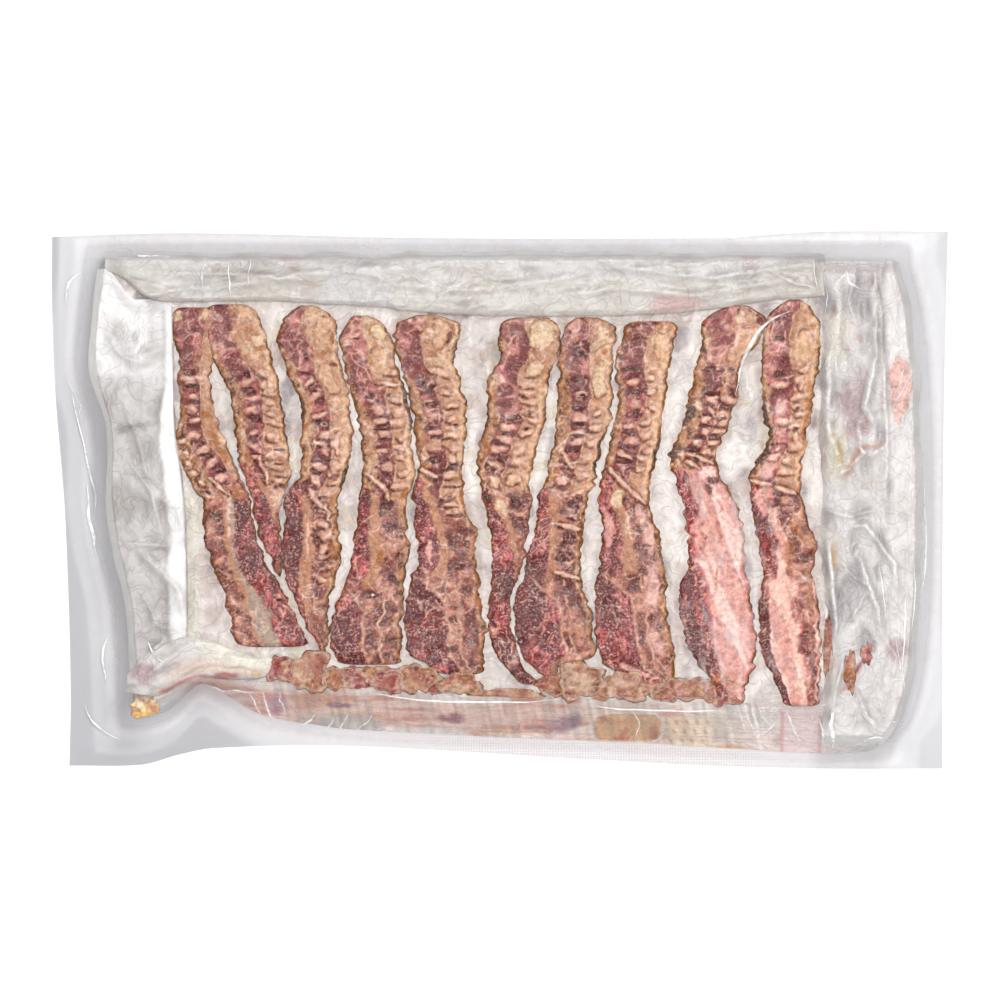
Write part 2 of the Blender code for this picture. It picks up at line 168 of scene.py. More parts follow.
def srgb(r, g, b):
    """A colour given as 0 to 255 display values, in linear light."""
    c = np.array((r, g, b)) / 255.0
    return np.where(c <= 0.04045, c / 12.92, ((c + 0.055) / 1.055) ** 2.4)


def ease(x, a, b):
    """0 up to a, 1 from b, smooth in between (b may be less than a)."""
    t = np.clip((x - a) / (b - a), 0.0, 1.0)
    return t * t * (3.0 - 2.0 * t)


def hump(x, centre, width):
    """A smooth hump of height 1."""
    return np.exp(-(((x - centre) / width) ** 2))


def through(points, at):
    """Values of a smooth line through (place, value) points, at the given places."""
    pts = sorted(points)
    px = np.array([p[0] for p in pts], float)
    py = np.array([p[1] for p in pts], float)
    slope = np.empty_like(py)
    slope[1:-1] = (py[2:] - py[:-2]) / (px[2:] - px[:-2])
    slope[0] = (py[1] - py[0]) / (px[1] - px[0])
    slope[-1] = (py[-1] - py[-2]) / (px[-1] - px[-2])
    at = np.clip(np.asarray(at, float), px[0], px[-1])
    i = np.clip(np.searchsorted(px, at, side="right") - 1, 0, len(px) - 2)
    span = px[i + 1] - px[i]
    t = (at - px[i]) / span
    a = (2 * t**3 - 3 * t**2 + 1) * py[i] + (t**3 - 2 * t**2 + t) * span * slope[i]
    b = (3 * t**2 - 2 * t**3) * py[i + 1] + (t**3 - t**2) * span * slope[i + 1]
    return a + b


LATTICE = np.random.default_rng(11).random((128, 128))


def cloud(x, y, size, seed=0.0, size_y=None):
    """Smooth random values from 0 to 1 that change over the given size."""
    a = np.asarray(x) / size + 17.31 * seed
    b = np.asarray(y) / (size_y or size) + 9.73 * seed
    i, j = np.floor(a).astype(int), np.floor(b).astype(int)
    fa, fb = a - i, b - j
    fa, fb = fa * fa * (3 - 2 * fa), fb * fb * (3 - 2 * fb)
    p = LATTICE[i % 128, j % 128] * (1 - fa) + LATTICE[(i + 1) % 128, j % 128] * fa
    q = LATTICE[i % 128, (j + 1) % 128] * (1 - fa) + LATTICE[(i + 1) % 128, (j + 1) % 128] * fa
    return p * (1 - fb) + q * fb


def clouds(x, y, size, seed=0.0, octaves=3, size_y=None):
    """Several sizes of cloud added up, still from 0 to 1."""
    total, weight = 0.0, 0.0
    for k in range(octaves):
        s = 0.5**k
        total = total + s * cloud(x, y, size * s, seed + 3.7 * k, (size_y or size) * s)
        weight += s
    return total / weight


def wobble(x, y, size, seed=0.0, octaves=3, size_y=None):
    """Clouds about zero, from -0.5 to 0.5."""
    return clouds(x, y, size, seed, octaves, size_y) - 0.5


def patches(none, full, *where):
    """Ragged patches: 0 where the clouds are at the value none, and 1 from the value full."""
    return ease(clouds(*where), none, full)


def oval(a, b, power):
    """The distance from a middle, measured so that the line at 1 is an oval with squarish ends."""
    return (np.abs(a) ** power + np.abs(b) ** power) ** (1 / power)


def beside(x, y, start, end):
    """How far along the line from start to end a point is, from 0 to 1, and how far off the line."""
    (ax, ay), (bx, by) = start, end
    along = ((x - ax) * (bx - ax) + (y - ay) * (by - ay)) / ((bx - ax) ** 2 + (by - ay) ** 2)
    along = np.clip(along, 0, 1)
    return along, np.hypot(x - ax - along * (bx - ax), y - ay - along * (by - ay))


def veins(x, y, size, seed=0.0, sharp=6.0, size_y=None):
    """Thin branching lines, 1 on the line and 0 off it."""
    n = clouds(x, y, size, seed, 2, size_y)
    return np.exp(-np.abs(n - 0.5) * 2.0 * sharp) ** 1.5


def mix(a, b, share):
    """Colour a going to colour b by a share for each point."""
    return a + (np.asarray(b) - a) * np.asarray(share)[..., None]


def paint(colour, *coats):
    """A colour with coats over it, one after the other; each is (colour, share)."""
    for coat, share in coats:
        colour = mix(colour, coat, share)
    return colour


def crowded(t):
    """Spreads evenly spaced shares so that they crowd towards 0 and 1."""
    return 0.5 * (t + 0.5 - 0.5 * np.cos(np.pi * t))


def even_grid(columns, rows):
    """A grid shape with u and v from 0 to 1 as its x and y."""
    shape = bmesh.new()
    bmesh.ops.create_grid(shape, x_segments=columns, y_segments=rows, size=0.5)
    for vert in shape.verts:
        vert.co.x += 0.5
        vert.co.y += 0.5
    return shape


def close_below(shape):
    """Gives a grid a skirt and one face underneath, and marks the new points with z = -1."""
    rim = [e for e in shape.edges if e.is_boundary]
    skirt = bmesh.ops.extrude_edge_only(shape, edges=rim)["geom"]
    lower = [g for g in skirt if isinstance(g, bmesh.types.BMVert)]
    for vert in lower:
        vert.co.z = -1.0
    lower_set = set(lower)
    bmesh.ops.contextual_create(shape, geom=[e for e in shape.edges if set(e.verts) <= lower_set])
    bmesh.ops.recalc_face_normals(shape, faces=shape.faces)


def relax(grid, steps):
    """Each cell takes the mean of itself and its neighbours."""
    for _ in range(steps):
        p = np.pad(grid, 1, mode="edge")
        grid = (2 * p[1:-1, 1:-1] + p[:-2, 1:-1] + p[2:, 1:-1] + p[1:-1, :-2] + p[1:-1, 2:]) / 6
    return grid


def proud_of(z, size, steps):
    """How far each point of a grid stands above its surroundings, and 0 for the skirt."""
    columns, rows = size
    count = (columns + 1) * (rows + 1)
    grid = z[:count].reshape(rows + 1, columns + 1)
    out = np.zeros_like(z)
    out[:count] = (grid - relax(grid, steps)).ravel()
    return out


def finish_piece(name, shape, place, material, base=None):
    """Makes one object on the root body.

    place gives x, y, z in mm and the point values for the shape's points; base is its underside's height.
    """
    mesh = bpy.data.meshes.new(name)
    shape.to_mesh(mesh)
    shape.free()
    count = len(mesh.vertices)
    co = np.empty(count * 3)
    mesh.vertices.foreach_get("co", co)
    co = co.reshape(-1, 3)
    below = co[:, 2] < -0.5
    x, y, z, values = place(co[:, 0].copy(), co[:, 1].copy(), co[:, 2].copy())
    if base is not None:
        z = np.where(below, base, z)
    mesh.vertices.foreach_set("co", (np.stack([x, y, z], 1) * MM).ravel())
    for key, value in values.items():
        value = np.asarray(value, float)
        if value.ndim == 2:
            layer = mesh.attributes.new(key, "FLOAT_COLOR", "POINT")
            layer.data.foreach_set("color", np.concatenate([value, np.ones((count, 1))], 1).ravel())
        else:
            layer = mesh.attributes.new(key, "FLOAT", "POINT")
            layer.data.foreach_set("value", np.broadcast_to(value, (count,)).copy())
    mesh.shade_smooth()
    mesh.set_sharp_from_angle(angle=SHARP_ANGLE)
    mesh.update()
    mesh.materials.append(material)
    obj = bpy.data.objects.new(name, mesh)
    bpy.context.scene.collection.objects.link(obj)
    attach(obj, "root")
    return obj


# ---- the slices' own patterns --------------------------------------------------------------------------

MEAT = {
    "strip": srgb(198, 150, 120),
    "smooth": srgb(224, 186, 156),
    "lean": srgb(170, 92, 90),
    "dark": srgb(128, 52, 60),
    "lens": srgb(132, 62, 70),
    "line": srgb(200, 148, 120),
    "pale": srgb(206, 158, 138),
    "knobs": srgb(208, 164, 138),
    "mid": srgb(176, 112, 100),
    "paper": srgb(186, 164, 148),
    # milk: a pale pink-white; as stains and columns over the slices it is painted sheen of the film, as veins
    # it is pale fat.
    "milk": srgb(238, 202, 194),
    "rim": srgb(234, 190, 176),
    "maroon": srgb(104, 40, 44),
    "brown": srgb(92, 46, 26),
    "orange": srgb(186, 112, 52),
    "caramel": srgb(160, 70, 26),
    "cream": srgb(230, 206, 176),
    "red": srgb(156, 44, 46),
    "purple": srgb(146, 76, 86),
    "blush": srgb(212, 144, 140),
}

# Each slice: columns side by side above and below the break, the break's height at the left and right
# edge, then bars (y, tilt) across the lean, knobs down the fat, pits, curls, blobs and stains, each (t,
# y, half width mm, half height mm, colour) with t from 0 at the slice's left edge to 1 at its right.
UPPER = ("strip", "lean", "line", "knobs", "smooth")
LOWER = ("dark", "line", "mid", "strip")
LENS = ("lens", "pale", "mid", "pale", "mid", "strip")

SLICE_LOOKS = {
    "slice_01": {
        "head": 60, "break": (3, 10), "lower": ("mid", "line", "paper", "dark"),
        "upper_at": ((88, .10, .70, .74, .96), (62, .05, .66, .72, .98), (50, .12, .62, .68, .95),
            (38, .18, .60, .66, .95), (28, .28, .62, .66, .9), (18, .34, .78, .82, .9),
            (9, .46, .88, .9, .95)),
        "lower_at": ((6, .46, .58, .66), (-5, .42, .54, .68), (-20, .36, .47, .52),
            (-35, .30, .42, .50), (-50, .30, .36, .62), (-67, .28, .34, .60)),
        "bars": ((56, -.3), (47, -.1), (42, 0), (36, 0), (29.5, .3), (23, .4), (17, .5), (10, .5)),
        "side_knobs": (27, 22, 17, 12.5, 7.5, 2),
        "pits": ((.3, 58.5, 2.2, 1.6), (.35, 52, 2.6, 1.2), (.5, 26, 1.6, .9), (.55, 20, 2.4, 1.1),
            (.65, 14, 2.4, 1.3), (.25, 3.5, 1.1, 1.0), (.3, -9, 1.2, 1.2), (.34, -12, 1.0, 1.0),
            (.14, -35, 1.2, 1.0), (.27, -33, 1.2, 1.0)),
        "curls": ((.42, 10, .58, 3),), "blobs": ((.1, 84.5, 2.4, 2.6, "cream"), (.5, 4, 1.8, 4.5, "pale")),
        "stains": ((.7, 39, 3.6, 3.0, "orange"), (.78, 27, 3.0, 6.5, "orange"),
            (.88, 20, 3.4, 3, "orange"), (.8, 4, 4, 4, "strip"), (.52, -4, 1.0, 6, "milk"),
            (.48, -14, .9, 5, "milk"), (.5, 56, 8, 1.0, "milk"), (.7, 64, 5, 5, "strip")),
    },
    "slice_02": {
        "head": 62, "break": (18, -6), "lower": ("lens", "line", "pale"),
        "upper_at": ((90, .12, .52, .6, .9), (75, .14, .52, .62, .84), (60, .18, .60, .66, .84),
            (45, .26, .60, .66, .84), (30, .22, .56, .62, .9), (15, .25, .50, .58, .92),
            (5, .3, .5, .58, .95)),
        "lower_at": ((15, .20, .55), (5, .35, .70), (-2, .62, .82), (-12, .84, .93), (-34, .86, .95)),
        "bars": ((55, .5), (46.5, .2), (41, .1), (30.5, .1), (24, -.3), (19.5, -.4)),
        "knobs": (58, 53.5, 49, 44.5, 40, 35, 29, 22, 15.5, 9.5),
        "pits": ((.45, 58, 2.0, 1.6), (.4, 50, 2.4, 1.4), (.42, 37.5, 2.4, 1.8), (.36, 28, 2.2, 1.2),
            (.3, 21, 2.2, .7), (.8, 23, 3.2, .5), (.8, 16.5, 3.2, .6), (.8, 10.5, 3.0, .7),
            (.82, 6.5, 2.4, 1.2)),
        "curls": ((.42, 20, .5, 8),),
        "blobs": ((.75, 86.5, 3.6, 3.4, "smooth"), (.82, 73, 2.6, 3.8, "cream")),
        "stains": ((.55, 86, 3.4, 3.0, "strip"), (.9, 44, .9, 12, "orange"),
            (.84, 17, 2, 2.2, "orange"), (.18, 18, 3, 7, "orange"), (.5, 6, 3, 3, "line")),
    },
    "slice_03": {
        "head": 58, "break": (9, -6),
        "upper_at": ((89, .08, .42, .5, .93), (72, .04, .50, .56, .93), (58, .14, .50, .58, .9),
            (42, .22, .56, .64, .86), (28, .24, .56, .64, .82), (12, .16, .58, .64, .84),
            (0, .2, .56, .62, .86)),
        "lower_at": ((9, .24, .46, .56), (-5, .32, .5, .84), (-25, .33, .54, .84), (-40, .22, .5, .86),
            (-68, .2, .46, .9)),
        "bars": ((54, .6), (48, .6), (38.5, .1), (30, 0), (26, -.1), (22, -.2), (15.5, -.5), (9, -.5)),
        "knobs": (30, 26, 21.5, 16.5, 12, 7.5, 3, -11, -17, -22, -26, -31, -36),
        "pits": ((.42, 65.5, 1.2, 1.6), (.34, 58, 2.6, 1.0), (.36, 50, 2.8, 1.0), (.44, 35, 2.6, 1.6),
            (.4, 27.5, 2.0, .9), (.46, 18.5, 2.8, .9), (.4, 12, 2.6, .8), (.76, 11, 2.2, .9),
            (.72, 1.5, 2.4, .9), (.78, -24, 1.2, 1.4), (.78, -49, 2.0, 1.2)),
        "curls": ((.38, 5, .85, -6), (.78, -2, .82, -9)),
        "blobs": ((.72, 79, 4.2, 5.6, "smooth"), (.7, 55, 3.4, 7, "smooth")),
        "stains": ((.92, 74, 1.2, 2.4, "orange"), (.86, 62, 2.4, 1.0, "caramel"),
            (.97, 12, 1.8, 8, "brown"), (.92, 0, 1.6, 4, "orange"), (.44, -18, .9, 10, "milk"),
            (.85, -28, 1.2, 10, "orange"), (.3, -57, 5, 8, "mid"), (.03, 42, 1.4, 10, "brown")),
    },
    "slice_04": {
        "head": 50, "break": (6, -4), "lens": (-38, .46),
        "upper_at": ((84, .04, .44, .5, .95), (64, .03, .42, .5, .95), (50, .14, .54, .6, .88),
            (36, .28, .58, .64, .88), (20, .30, .60, .66, .86), (6, .28, .56, .62, .88)),
        "lower_at": ((6, .2, .40, .84), (-10, .26, .48, .86), (-28, .32, .54, .84),
            (-40, .30, .52, .86), (-74, .3, .5, .88)),
        "bars": ((46.5, .4), (41.5, .3), (36.5, .1), (30.5, 0), (22.5, 0), (15, -.2)),
        "knobs": (59, 52, 46, 40.5, 35, 29.5, 24, 18.5, 12.5, 6.5),
        "pits": ((.32, 74, 1.6, .5), (.36, 47.5, 2.6, 1.8), (.4, 32.4, 3.4, .45), (.42, 28, 2.0, .8),
            (.42, 19, 2.0, 1.0), (.66, 48, .9, .8), (.62, -12.2, 3.0, .7), (.62, -3, 2.6, 2.0),
            (.8, -25, 1.0, 2.2), (.8, -36, 1.4, 1.2), (.52, -44, 1.4, 1.2), (.3, -71, 4.0, 1.2)),
        "curls": ((.1, 12, .56, 3.4), (.56, 3.4, .62, 0)),
        "blobs": ((.76, 77.5, 3.2, 3.4, "cream"), (.7, 62.5, 5.2, 6.0, "smooth"),
            (.2, 20, 1.5, 1.6, "strip")),
        "stains": ((.6, 77.5, .9, 2.4, "orange"), (.97, 45, 1.6, 14, "brown"),
            (.12, 4, 1.6, 1.8, "caramel"), (.9, -30, 1.0, 2.6, "brown"), (.9, 3, 1.4, 3.0, "orange"),
            (.2, -60, 4.6, 12, "lens"), (.5, -26, 1.4, 6, "orange"), (.1, 36, 1.6, 12, "strip")),
    },
    "slice_05": {
        "head": 58, "break": (11, -8), "lens": (-33, .54),
        "upper_at": ((85, .05, .5, .54, .92), (70, .06, .5, .56, .92), (56, .14, .52, .60, .86),
            (40, .20, .54, .62, .84), (24, .22, .58, .62, .88), (10, .3, .54, .6, .9),
            (-6, .34, .5, .54, .93)),
        "lower_at": ((10, .2, .38, .9), (-5, .25, .46, .92), (-20, .36, .54, .88), (-35, .3, .5, .88),
            (-79, .3, .5, .88)),
        "bars": ((52.5, .3), (45, .1), (38, 0), (31, 0), (24, -.1)),
        "knobs": (58, 49.5, 44, 36.5, 30, 24.5, 18.5, 12, 2, -3),
        "pits": ((.36, 53.5, 3.6, 2.8), (.36, 44, 3.0, 1.2), (.34, 33, 2.6, .8), (.34, 18.5, 2.8, 1.2),
            (.78, 34.5, 2.8, .5), (.76, 15, 2.8, 2.2), (.76, 6, 4.4, .5), (.74, 1.4, 1.6, 1.2),
            (.74, -7.2, 4.2, .7), (.86, -20.5, 1.2, 1.8), (.76, -30, 3.2, 1.0), (.26, -68.5, 1.9, 2.0),
            (.52, -68.5, 1.6, 1.5), (.75, -47, 1.0, 1.6)),
        "curls": ((.04, 14.5, .44, 10.5),),
        "blobs": ((.72, 76, 4.4, 5.4, "smooth"), (.36, 25, 3.4, 3.4, "knobs"), (.9, 72, 1.6, 3, "cream")),
        "stains": ((.84, 74.5, 1.5, 3.0, "caramel"), (.7, -3.6, 2.2, 1.4, "orange"),
            (.04, 30, 1.2, 12, "orange"), (.95, 4, 1.2, 9, "orange"), (.2, -24, 1.6, 5, "milk"),
            (.12, -9, 2.6, 3, "red"), (.26, -28, 1.4, 2.8, "red"), (.5, -22, 1.2, 7, "orange")),
    },
    "slice_06": {
        "head": 44, "break": (6, 2), "lower": ("dark", "line", "mid"),
        "upper_at": ((84, .02, .5, .56, .9), (66, .06, .5, .56, .92), (50, .14, .58, .64, .86),
            (36, .22, .58, .64, .86), (22, .22, .52, .58, .86), (10, .18, .44, .5, .9),
            (2, .16, .4, .46, .92)),
        "lower_at": ((4, .14, .40), (-8, .30, .52), (-20, .55, .72), (-32, .80, .92), (-42, .98, 1.02),
            (-84, 1.1, 1.2)),
        "bars": ((33, -.1), (28, -.2), (23, -.2), (16, -.5), (9, -.7)),
        "knobs": (53, 50.5, 48, 45, 40, 36, 31, 23, 17, 9.5),
        "pits": ((.44, 43, 1.6, 1.0), (.46, 38, 3.4, 1.4), (.42, 30.5, 2.6, .8), (.44, 19, 2.4, 1.4),
            (.73, 39.6, 1.1, 1.2), (.72, 32.5, 1.2, 1.1), (.36, 13, 2.8, 1.2), (.8, -8.6, 3.4, .9),
            (.66, 0, 2.6, 2.6)),
        "curls": ((.22, 17.5, .42, 14),),
        "blobs": ((.72, 76, 5.0, 6.6, "cream"), (.72, 60, 4.4, 4.4, "cream"),
            (.3, 8.5, 2.0, 2.6, "cream"), (.68, 9.6, 3.6, 3.4, "smooth")),
        "stains": ((.7, 56, 3.4, 1.0, "orange"), (.14, 38, 1.3, 3, "orange"),
            (.12, 24, 1.3, 9, "orange"), (.88, 2, 1.6, 3.4, "caramel"), (.12, -2, 4.6, 4.6, "caramel"),
            (.1, 0.5, 2.4, 2.6, "brown"), (.34, -3, 3.0, 4.0, "cream"), (.35, -30, 7, 3, "red"),
            (.15, -60, 3.0, 2.2, "milk"), (.12, -69, 3.0, 3, "red")),
    },
    "slice_07": {
        "head": 60, "break": (6, 2), "lens": (-33, .6),
        "upper_at": ((84, .1, .5, .56, .9), (66, .12, .54, .6, .9), (50, .24, .58, .64, .88),
            (36, .28, .60, .66, .88), (20, .26, .58, .64, .88), (4, .2, .5, .6, .9)),
        "lower_at": ((4, .22, .50, .85), (-10, .30, .48, .88), (-26, .38, .54, .88),
            (-36, .36, .56, .9), (-80, .36, .54, .9)),
        "bars": ((48.5, .1), (37.5, 0), (31, 0), (27, -.1), (18.5, -.6)),
        "knobs": (40.5, 33, 25.5, 20, 11, 3.5),
        "pits": ((.42, 70, 3.6, 4.0), (.36, 55.5, 3.4, 1.6), (.44, 48, 1.6, 1.2), (.4, 42, 3.4, 1.0),
            (.42, 35, 3.2, .9), (.44, 29.5, 2.4, 1.2), (.46, 22.5, 2.8, 1.2), (.36, 14.5, 2.6, .7),
            (.7, -2, 3.6, 2.4), (.72, -8.5, 3.8, 1.2), (.7, -18, 3.6, 2.4), (.72, -26, 3.8, 2.0),
            (.74, -42, 2.2, 2.4)),
        "curls": ((.24, 22, .5, 15), (.46, -11, .96, -13.6), (.54, -33, .97, -36)),
        "blobs": ((.34, 9, 3.0, 2.4, "rim"), (.74, 54, 3.0, 8.6, "cream"),
            (.84, 68, 3.4, 3.2, "smooth"), (.32, -2.6, 3.0, 5.4, "line")),
        "stains": ((.86, 68, 1.6, 1.8, "orange"), (.14, 40, 1.7, 14, "orange"),
            (.16, -26, 2.4, 2.2, "red"), (.1, -2, 3.0, 5, "red"), (.9, -12, 1.6, 9, "orange"),
            (.96, 20, 1.0, 12, "brown"), (.96, -45, 1.4, 26, "strip"), (.42, 70, 2.4, 2.8, "red")),
    },
    "slice_08": {
        "head": 62, "break": (14, -3), "lens": (-32, .54),
        "upper_at": ((82, .06, .5, .56, .9), (66, .08, .54, .60, .86), (50, .16, .58, .62, .80),
            (36, .20, .56, .62, .80), (20, .18, .58, .64, .84), (6, .16, .56, .62, .88)),
        "lower_at": ((12, .26, .46, .96), (0, .28, .50, .93), (-16, .34, .54, .9), (-30, .34, .56, .88),
            (-84, .34, .56, .9)),
        "bars": ((54.5, .35), (43.5, .05), (34, 0), (27.5, -.15), (21, -.35)),
        "knobs": (56, 49, 42.5, 36, 29, 23.5, 18.8, 13.5),
        "pits": ((.26, 60, 3.4, 1.2), (.3, 75, 3.0, 1.6), (.38, 49.5, 3.2, 1.4), (.36, 39, 3.2, 1.2),
            (.36, 31.2, 3.0, .8), (.36, 24, 3.0, .7), (.36, 17.5, 3.0, .8), (.78, -21, 2.0, .8),
            (.08, -33, 1.6, .8)),
        "curls": ((.12, 14.5, .92, -1.5),),
        "blobs": ((.3, 75.5, 3.6, 1.9, "rim"), (.36, 1, 2.6, 4.8, "cream"), (.78, 72, 4.4, 6, "smooth")),
        "stains": ((.96, 20, 1.2, 12, "brown"), (.12, -12, 3.0, 9, "milk"), (.8, -14, 3.2, 12, "milk"),
            (.8, -40, 3.2, 16, "milk"), (.78, -66, 3.6, 6, "milk"), (.9, -56, 1.2, 12, "strip"),
            (.28, -78, 3.4, 4, "milk"), (.96, 52, 1.0, 10, "orange")),
    },
    "slice_09": {
        "head": 56, "break": (14, 16), "lens": (-24, .40),
        "upper": ("strip", "lean", "line", "mid", "pale"), "lower": ("dark", "rim", "milk", "pale"),
        "lens_kinds": ("lens", "blush", "milk", "rim", "milk", "blush"),
        "upper_at": ((89, .06, .5, .56, .96), (70, .14, .62, .66, .94), (55, .26, .68, .74, .95),
            (40, .34, .66, .72, .95), (26, .36, .66, .72, .95), (15, .36, .64, .70, .95)),
        "lower_at": ((14, .28, .52, .9), (0, .26, .50, .95), (-14, .30, .56, .95), (-30, .34, .52, .95),
            (-60, .38, .5, .95), (-90, .4, .5, .95)),
        "bars": ((46, -.3), (41, -.3), (36.5, -.35), (31.5, -.4), (26.5, -.45), (21, -.45)),
        "knobs": (45, 40, 35.5, 31, 26.5, 22),
        "pits": ((.44, 60, 3.2, 1.1), (.5, 48.5, 3.2, .9), (.5, 38.8, 3.2, .6), (.52, 34, 3.2, .6),
            (.52, 28.6, 3.4, .8), (.5, 23, 3.2, 1.2), (.8, 37.5, 2.6, .5), (.84, 28, 2.8, .5),
            (.8, 9, 2.0, 1.4), (.6, 4.5, 1.4, 2.4)),
        "curls": ((.36, 18, .58, 15), (.6, 20, .9, 17)),
        "blobs": ((.42, 16.5, 3.0, 2.4, "knobs"), (.7, 17.5, 3.2, 2.0, "knobs"),
            (.78, 74, 5, 9, "smooth")),
        "stains": ((.1, 52, 2.2, 6, "orange"), (.1, 40, 2.6, 8, "brown"), (.1, 22, 3.0, 4, "brown"),
            (.4, 4, 3.2, 5, "strip"), (.56, -14, 1.2, 6, "orange"), (.2, -16, 2.8, 10, "milk"),
            (.78, -10, 4.5, 18, "milk"), (.7, -45, 4.6, 18, "milk"), (.14, -60, 2.6, 14, "maroon"),
            (.4, -82, 7, 4, "strip"), (.52, -34, 1.0, 8, "orange"), (.6, 73, 1.2, 8, "milk")),
    },
    "slice_10": {
        "head": 58, "break": (8, 4), "lens": (-34, .2), "lower": ("dark", "rim", "mid", "pale"),
        "lens_kinds": ("lens", "milk", "rim", "blush", "mid", "milk"),
        "upper_at": ((92, .08, .5, .56, .95), (72, .06, .5, .55, .95), (56, .12, .58, .64, .82),
            (40, .16, .54, .60, .84), (24, .22, .52, .58, .86), (8, .24, .5, .56, .9)),
        "lower_at": ((6, .22, .42, .92), (-12, .30, .48, .94), (-30, .30, .50, .94),
            (-50, .16, .46, .93), (-90, .16, .4, .93)),
        "bars": ((53, .1), (36, 0), (20, -.1)), "knobs": (60, 56, 52, 47.5, 43, 38.5, 34, 29, 24, 19, 13),
        "pits": ((.3, 74, 2.6, 1.0), (.3, 58, 3.4, 1.8), (.34, 25.6, 2.8, .45), (.56, 3, 2.4, 1.0),
            (.72, 42, 1.0, 1.0), (.72, 33, 1.2, .9), (.42, -1, 2.4, 2.0)),
        "curls": ((.0, 9, .4, 7), (.5, 6, .9, 3)), "blobs": ((.72, 71, 4.6, 6.2, "smooth"),),
        "stains": ((.05, 34, 1.5, 14, "brown"), (.12, 19, 2.6, 4, "brown"), (.36, 38, 2.8, 10, "milk"),
            (.3, 14, 3.6, 7, "milk"), (.18, 0, 2.6, 6, "milk"), (.55, -8, 3.2, 7, "red"),
            (.72, -14, 3.2, 6, "orange"), (.52, -24, 3.0, 8, "orange"), (.32, -52, 3.6, 16, "milk"),
            (.1, -62, 2.0, 22, "maroon"), (.64, -50, 3.0, 7, "red"), (.7, -66, 3.0, 7, "red"),
            (.42, -80, 6.0, 6, "milk"), (.9, -40, 1.6, 16, "strip"), (.9, 40, 1.4, 16, "orange")),
    },
}


def side_by_side(kinds, edges, t, blur):
    """Mixes the columns of one part of a slice: edges gives each boundary, blur how soft it is."""
    colour = np.broadcast_to(MEAT[kinds[0]], t.shape + (3,)).copy()
    share = {kinds[0]: np.ones_like(t)}
    for kind, edge in zip(kinds[1:], edges):
        over = ease(t, edge - blur, edge + blur)
        colour = mix(colour, MEAT[kind], over)
        for key in share:
            share[key] = share[key] * (1 - over)
        share[kind] = share.get(kind, 0) + over
    return colour, share


def column_edges(rows, y, sway):
    """The boundaries between columns, given in rows of (y, share across, ...)."""
    return [through([(row[0], row[k]) for row in rows], y) + sway for k in range(1, len(rows[0]))]


def add_pads(colour, z, look, seed, at, sides, column):
    """Soft pads across the lean, each its own size, with painted highlight on their tops and rims, and dark
    hollows of painted shade between some of them.
    """
    (x, y, t, w), (lean_a, lean_b) = at, sides
    hollow_painted_shade, raised, rim_highlights = np.zeros_like(y), np.zeros_like(y), np.zeros_like(y)
    for k, (by, tilt) in enumerate(look["bars"]):
        size = math.sin(3.1 * k + seed)
        half_p = (0.44 + 0.08 * math.sin(5.1 * k + seed)) * (lean_b - lean_a) * w
        half_q = 1.9 + 0.6 * size
        p = (t - (lean_a + lean_b) / 2) * w + 2.4 * wobble(x, y, 4.6, seed + k + 50, 2)
        p = p - 0.8 * math.sin(2.7 * k)
        q = (y - by) - (tilt + 0.15 * math.sin(4.3 * k)) * p + 2.2 * wobble(x, y, 4.0, seed + k, 2)
        r = oval(p / half_p, q / half_q, 2.5)
        raised = np.maximum(raised, 1 - np.clip(r, 0, 1) ** 2.6)
        rim_highlights = np.maximum(rim_highlights, hump(r, 0.8, 0.16) * patches(0.35, 0.6, x, y, 3.0, seed + k + 60, 2))
        under = hump(q, -half_q - 0.7, 0.8) * ease(np.abs(p / half_p), 1.0, 0.6)
        hollow_painted_shade = np.maximum(hollow_painted_shade, under * (0.6 + 0.4 * math.sin(1.9 * k + 2 * seed)))
    hollow_painted_shade = hollow_painted_shade * column * (1 - raised)
    z = z + 1.15 * raised * column - 0.7 * hollow_painted_shade
    # Lighter pad tops and rims are painted highlight; the dark hollows are painted shade.
    colour = paint(
        colour,
        (srgb(204, 146, 132), 0.75 * raised * column),
        (srgb(232, 192, 176), 0.6 * ease(raised, 0.55, 1.0) * column),
        (MEAT["rim"], 0.7 * rim_highlights * column),
        (srgb(134, 62, 66), 0.7 * hollow_painted_shade),
    )
    return colour, z


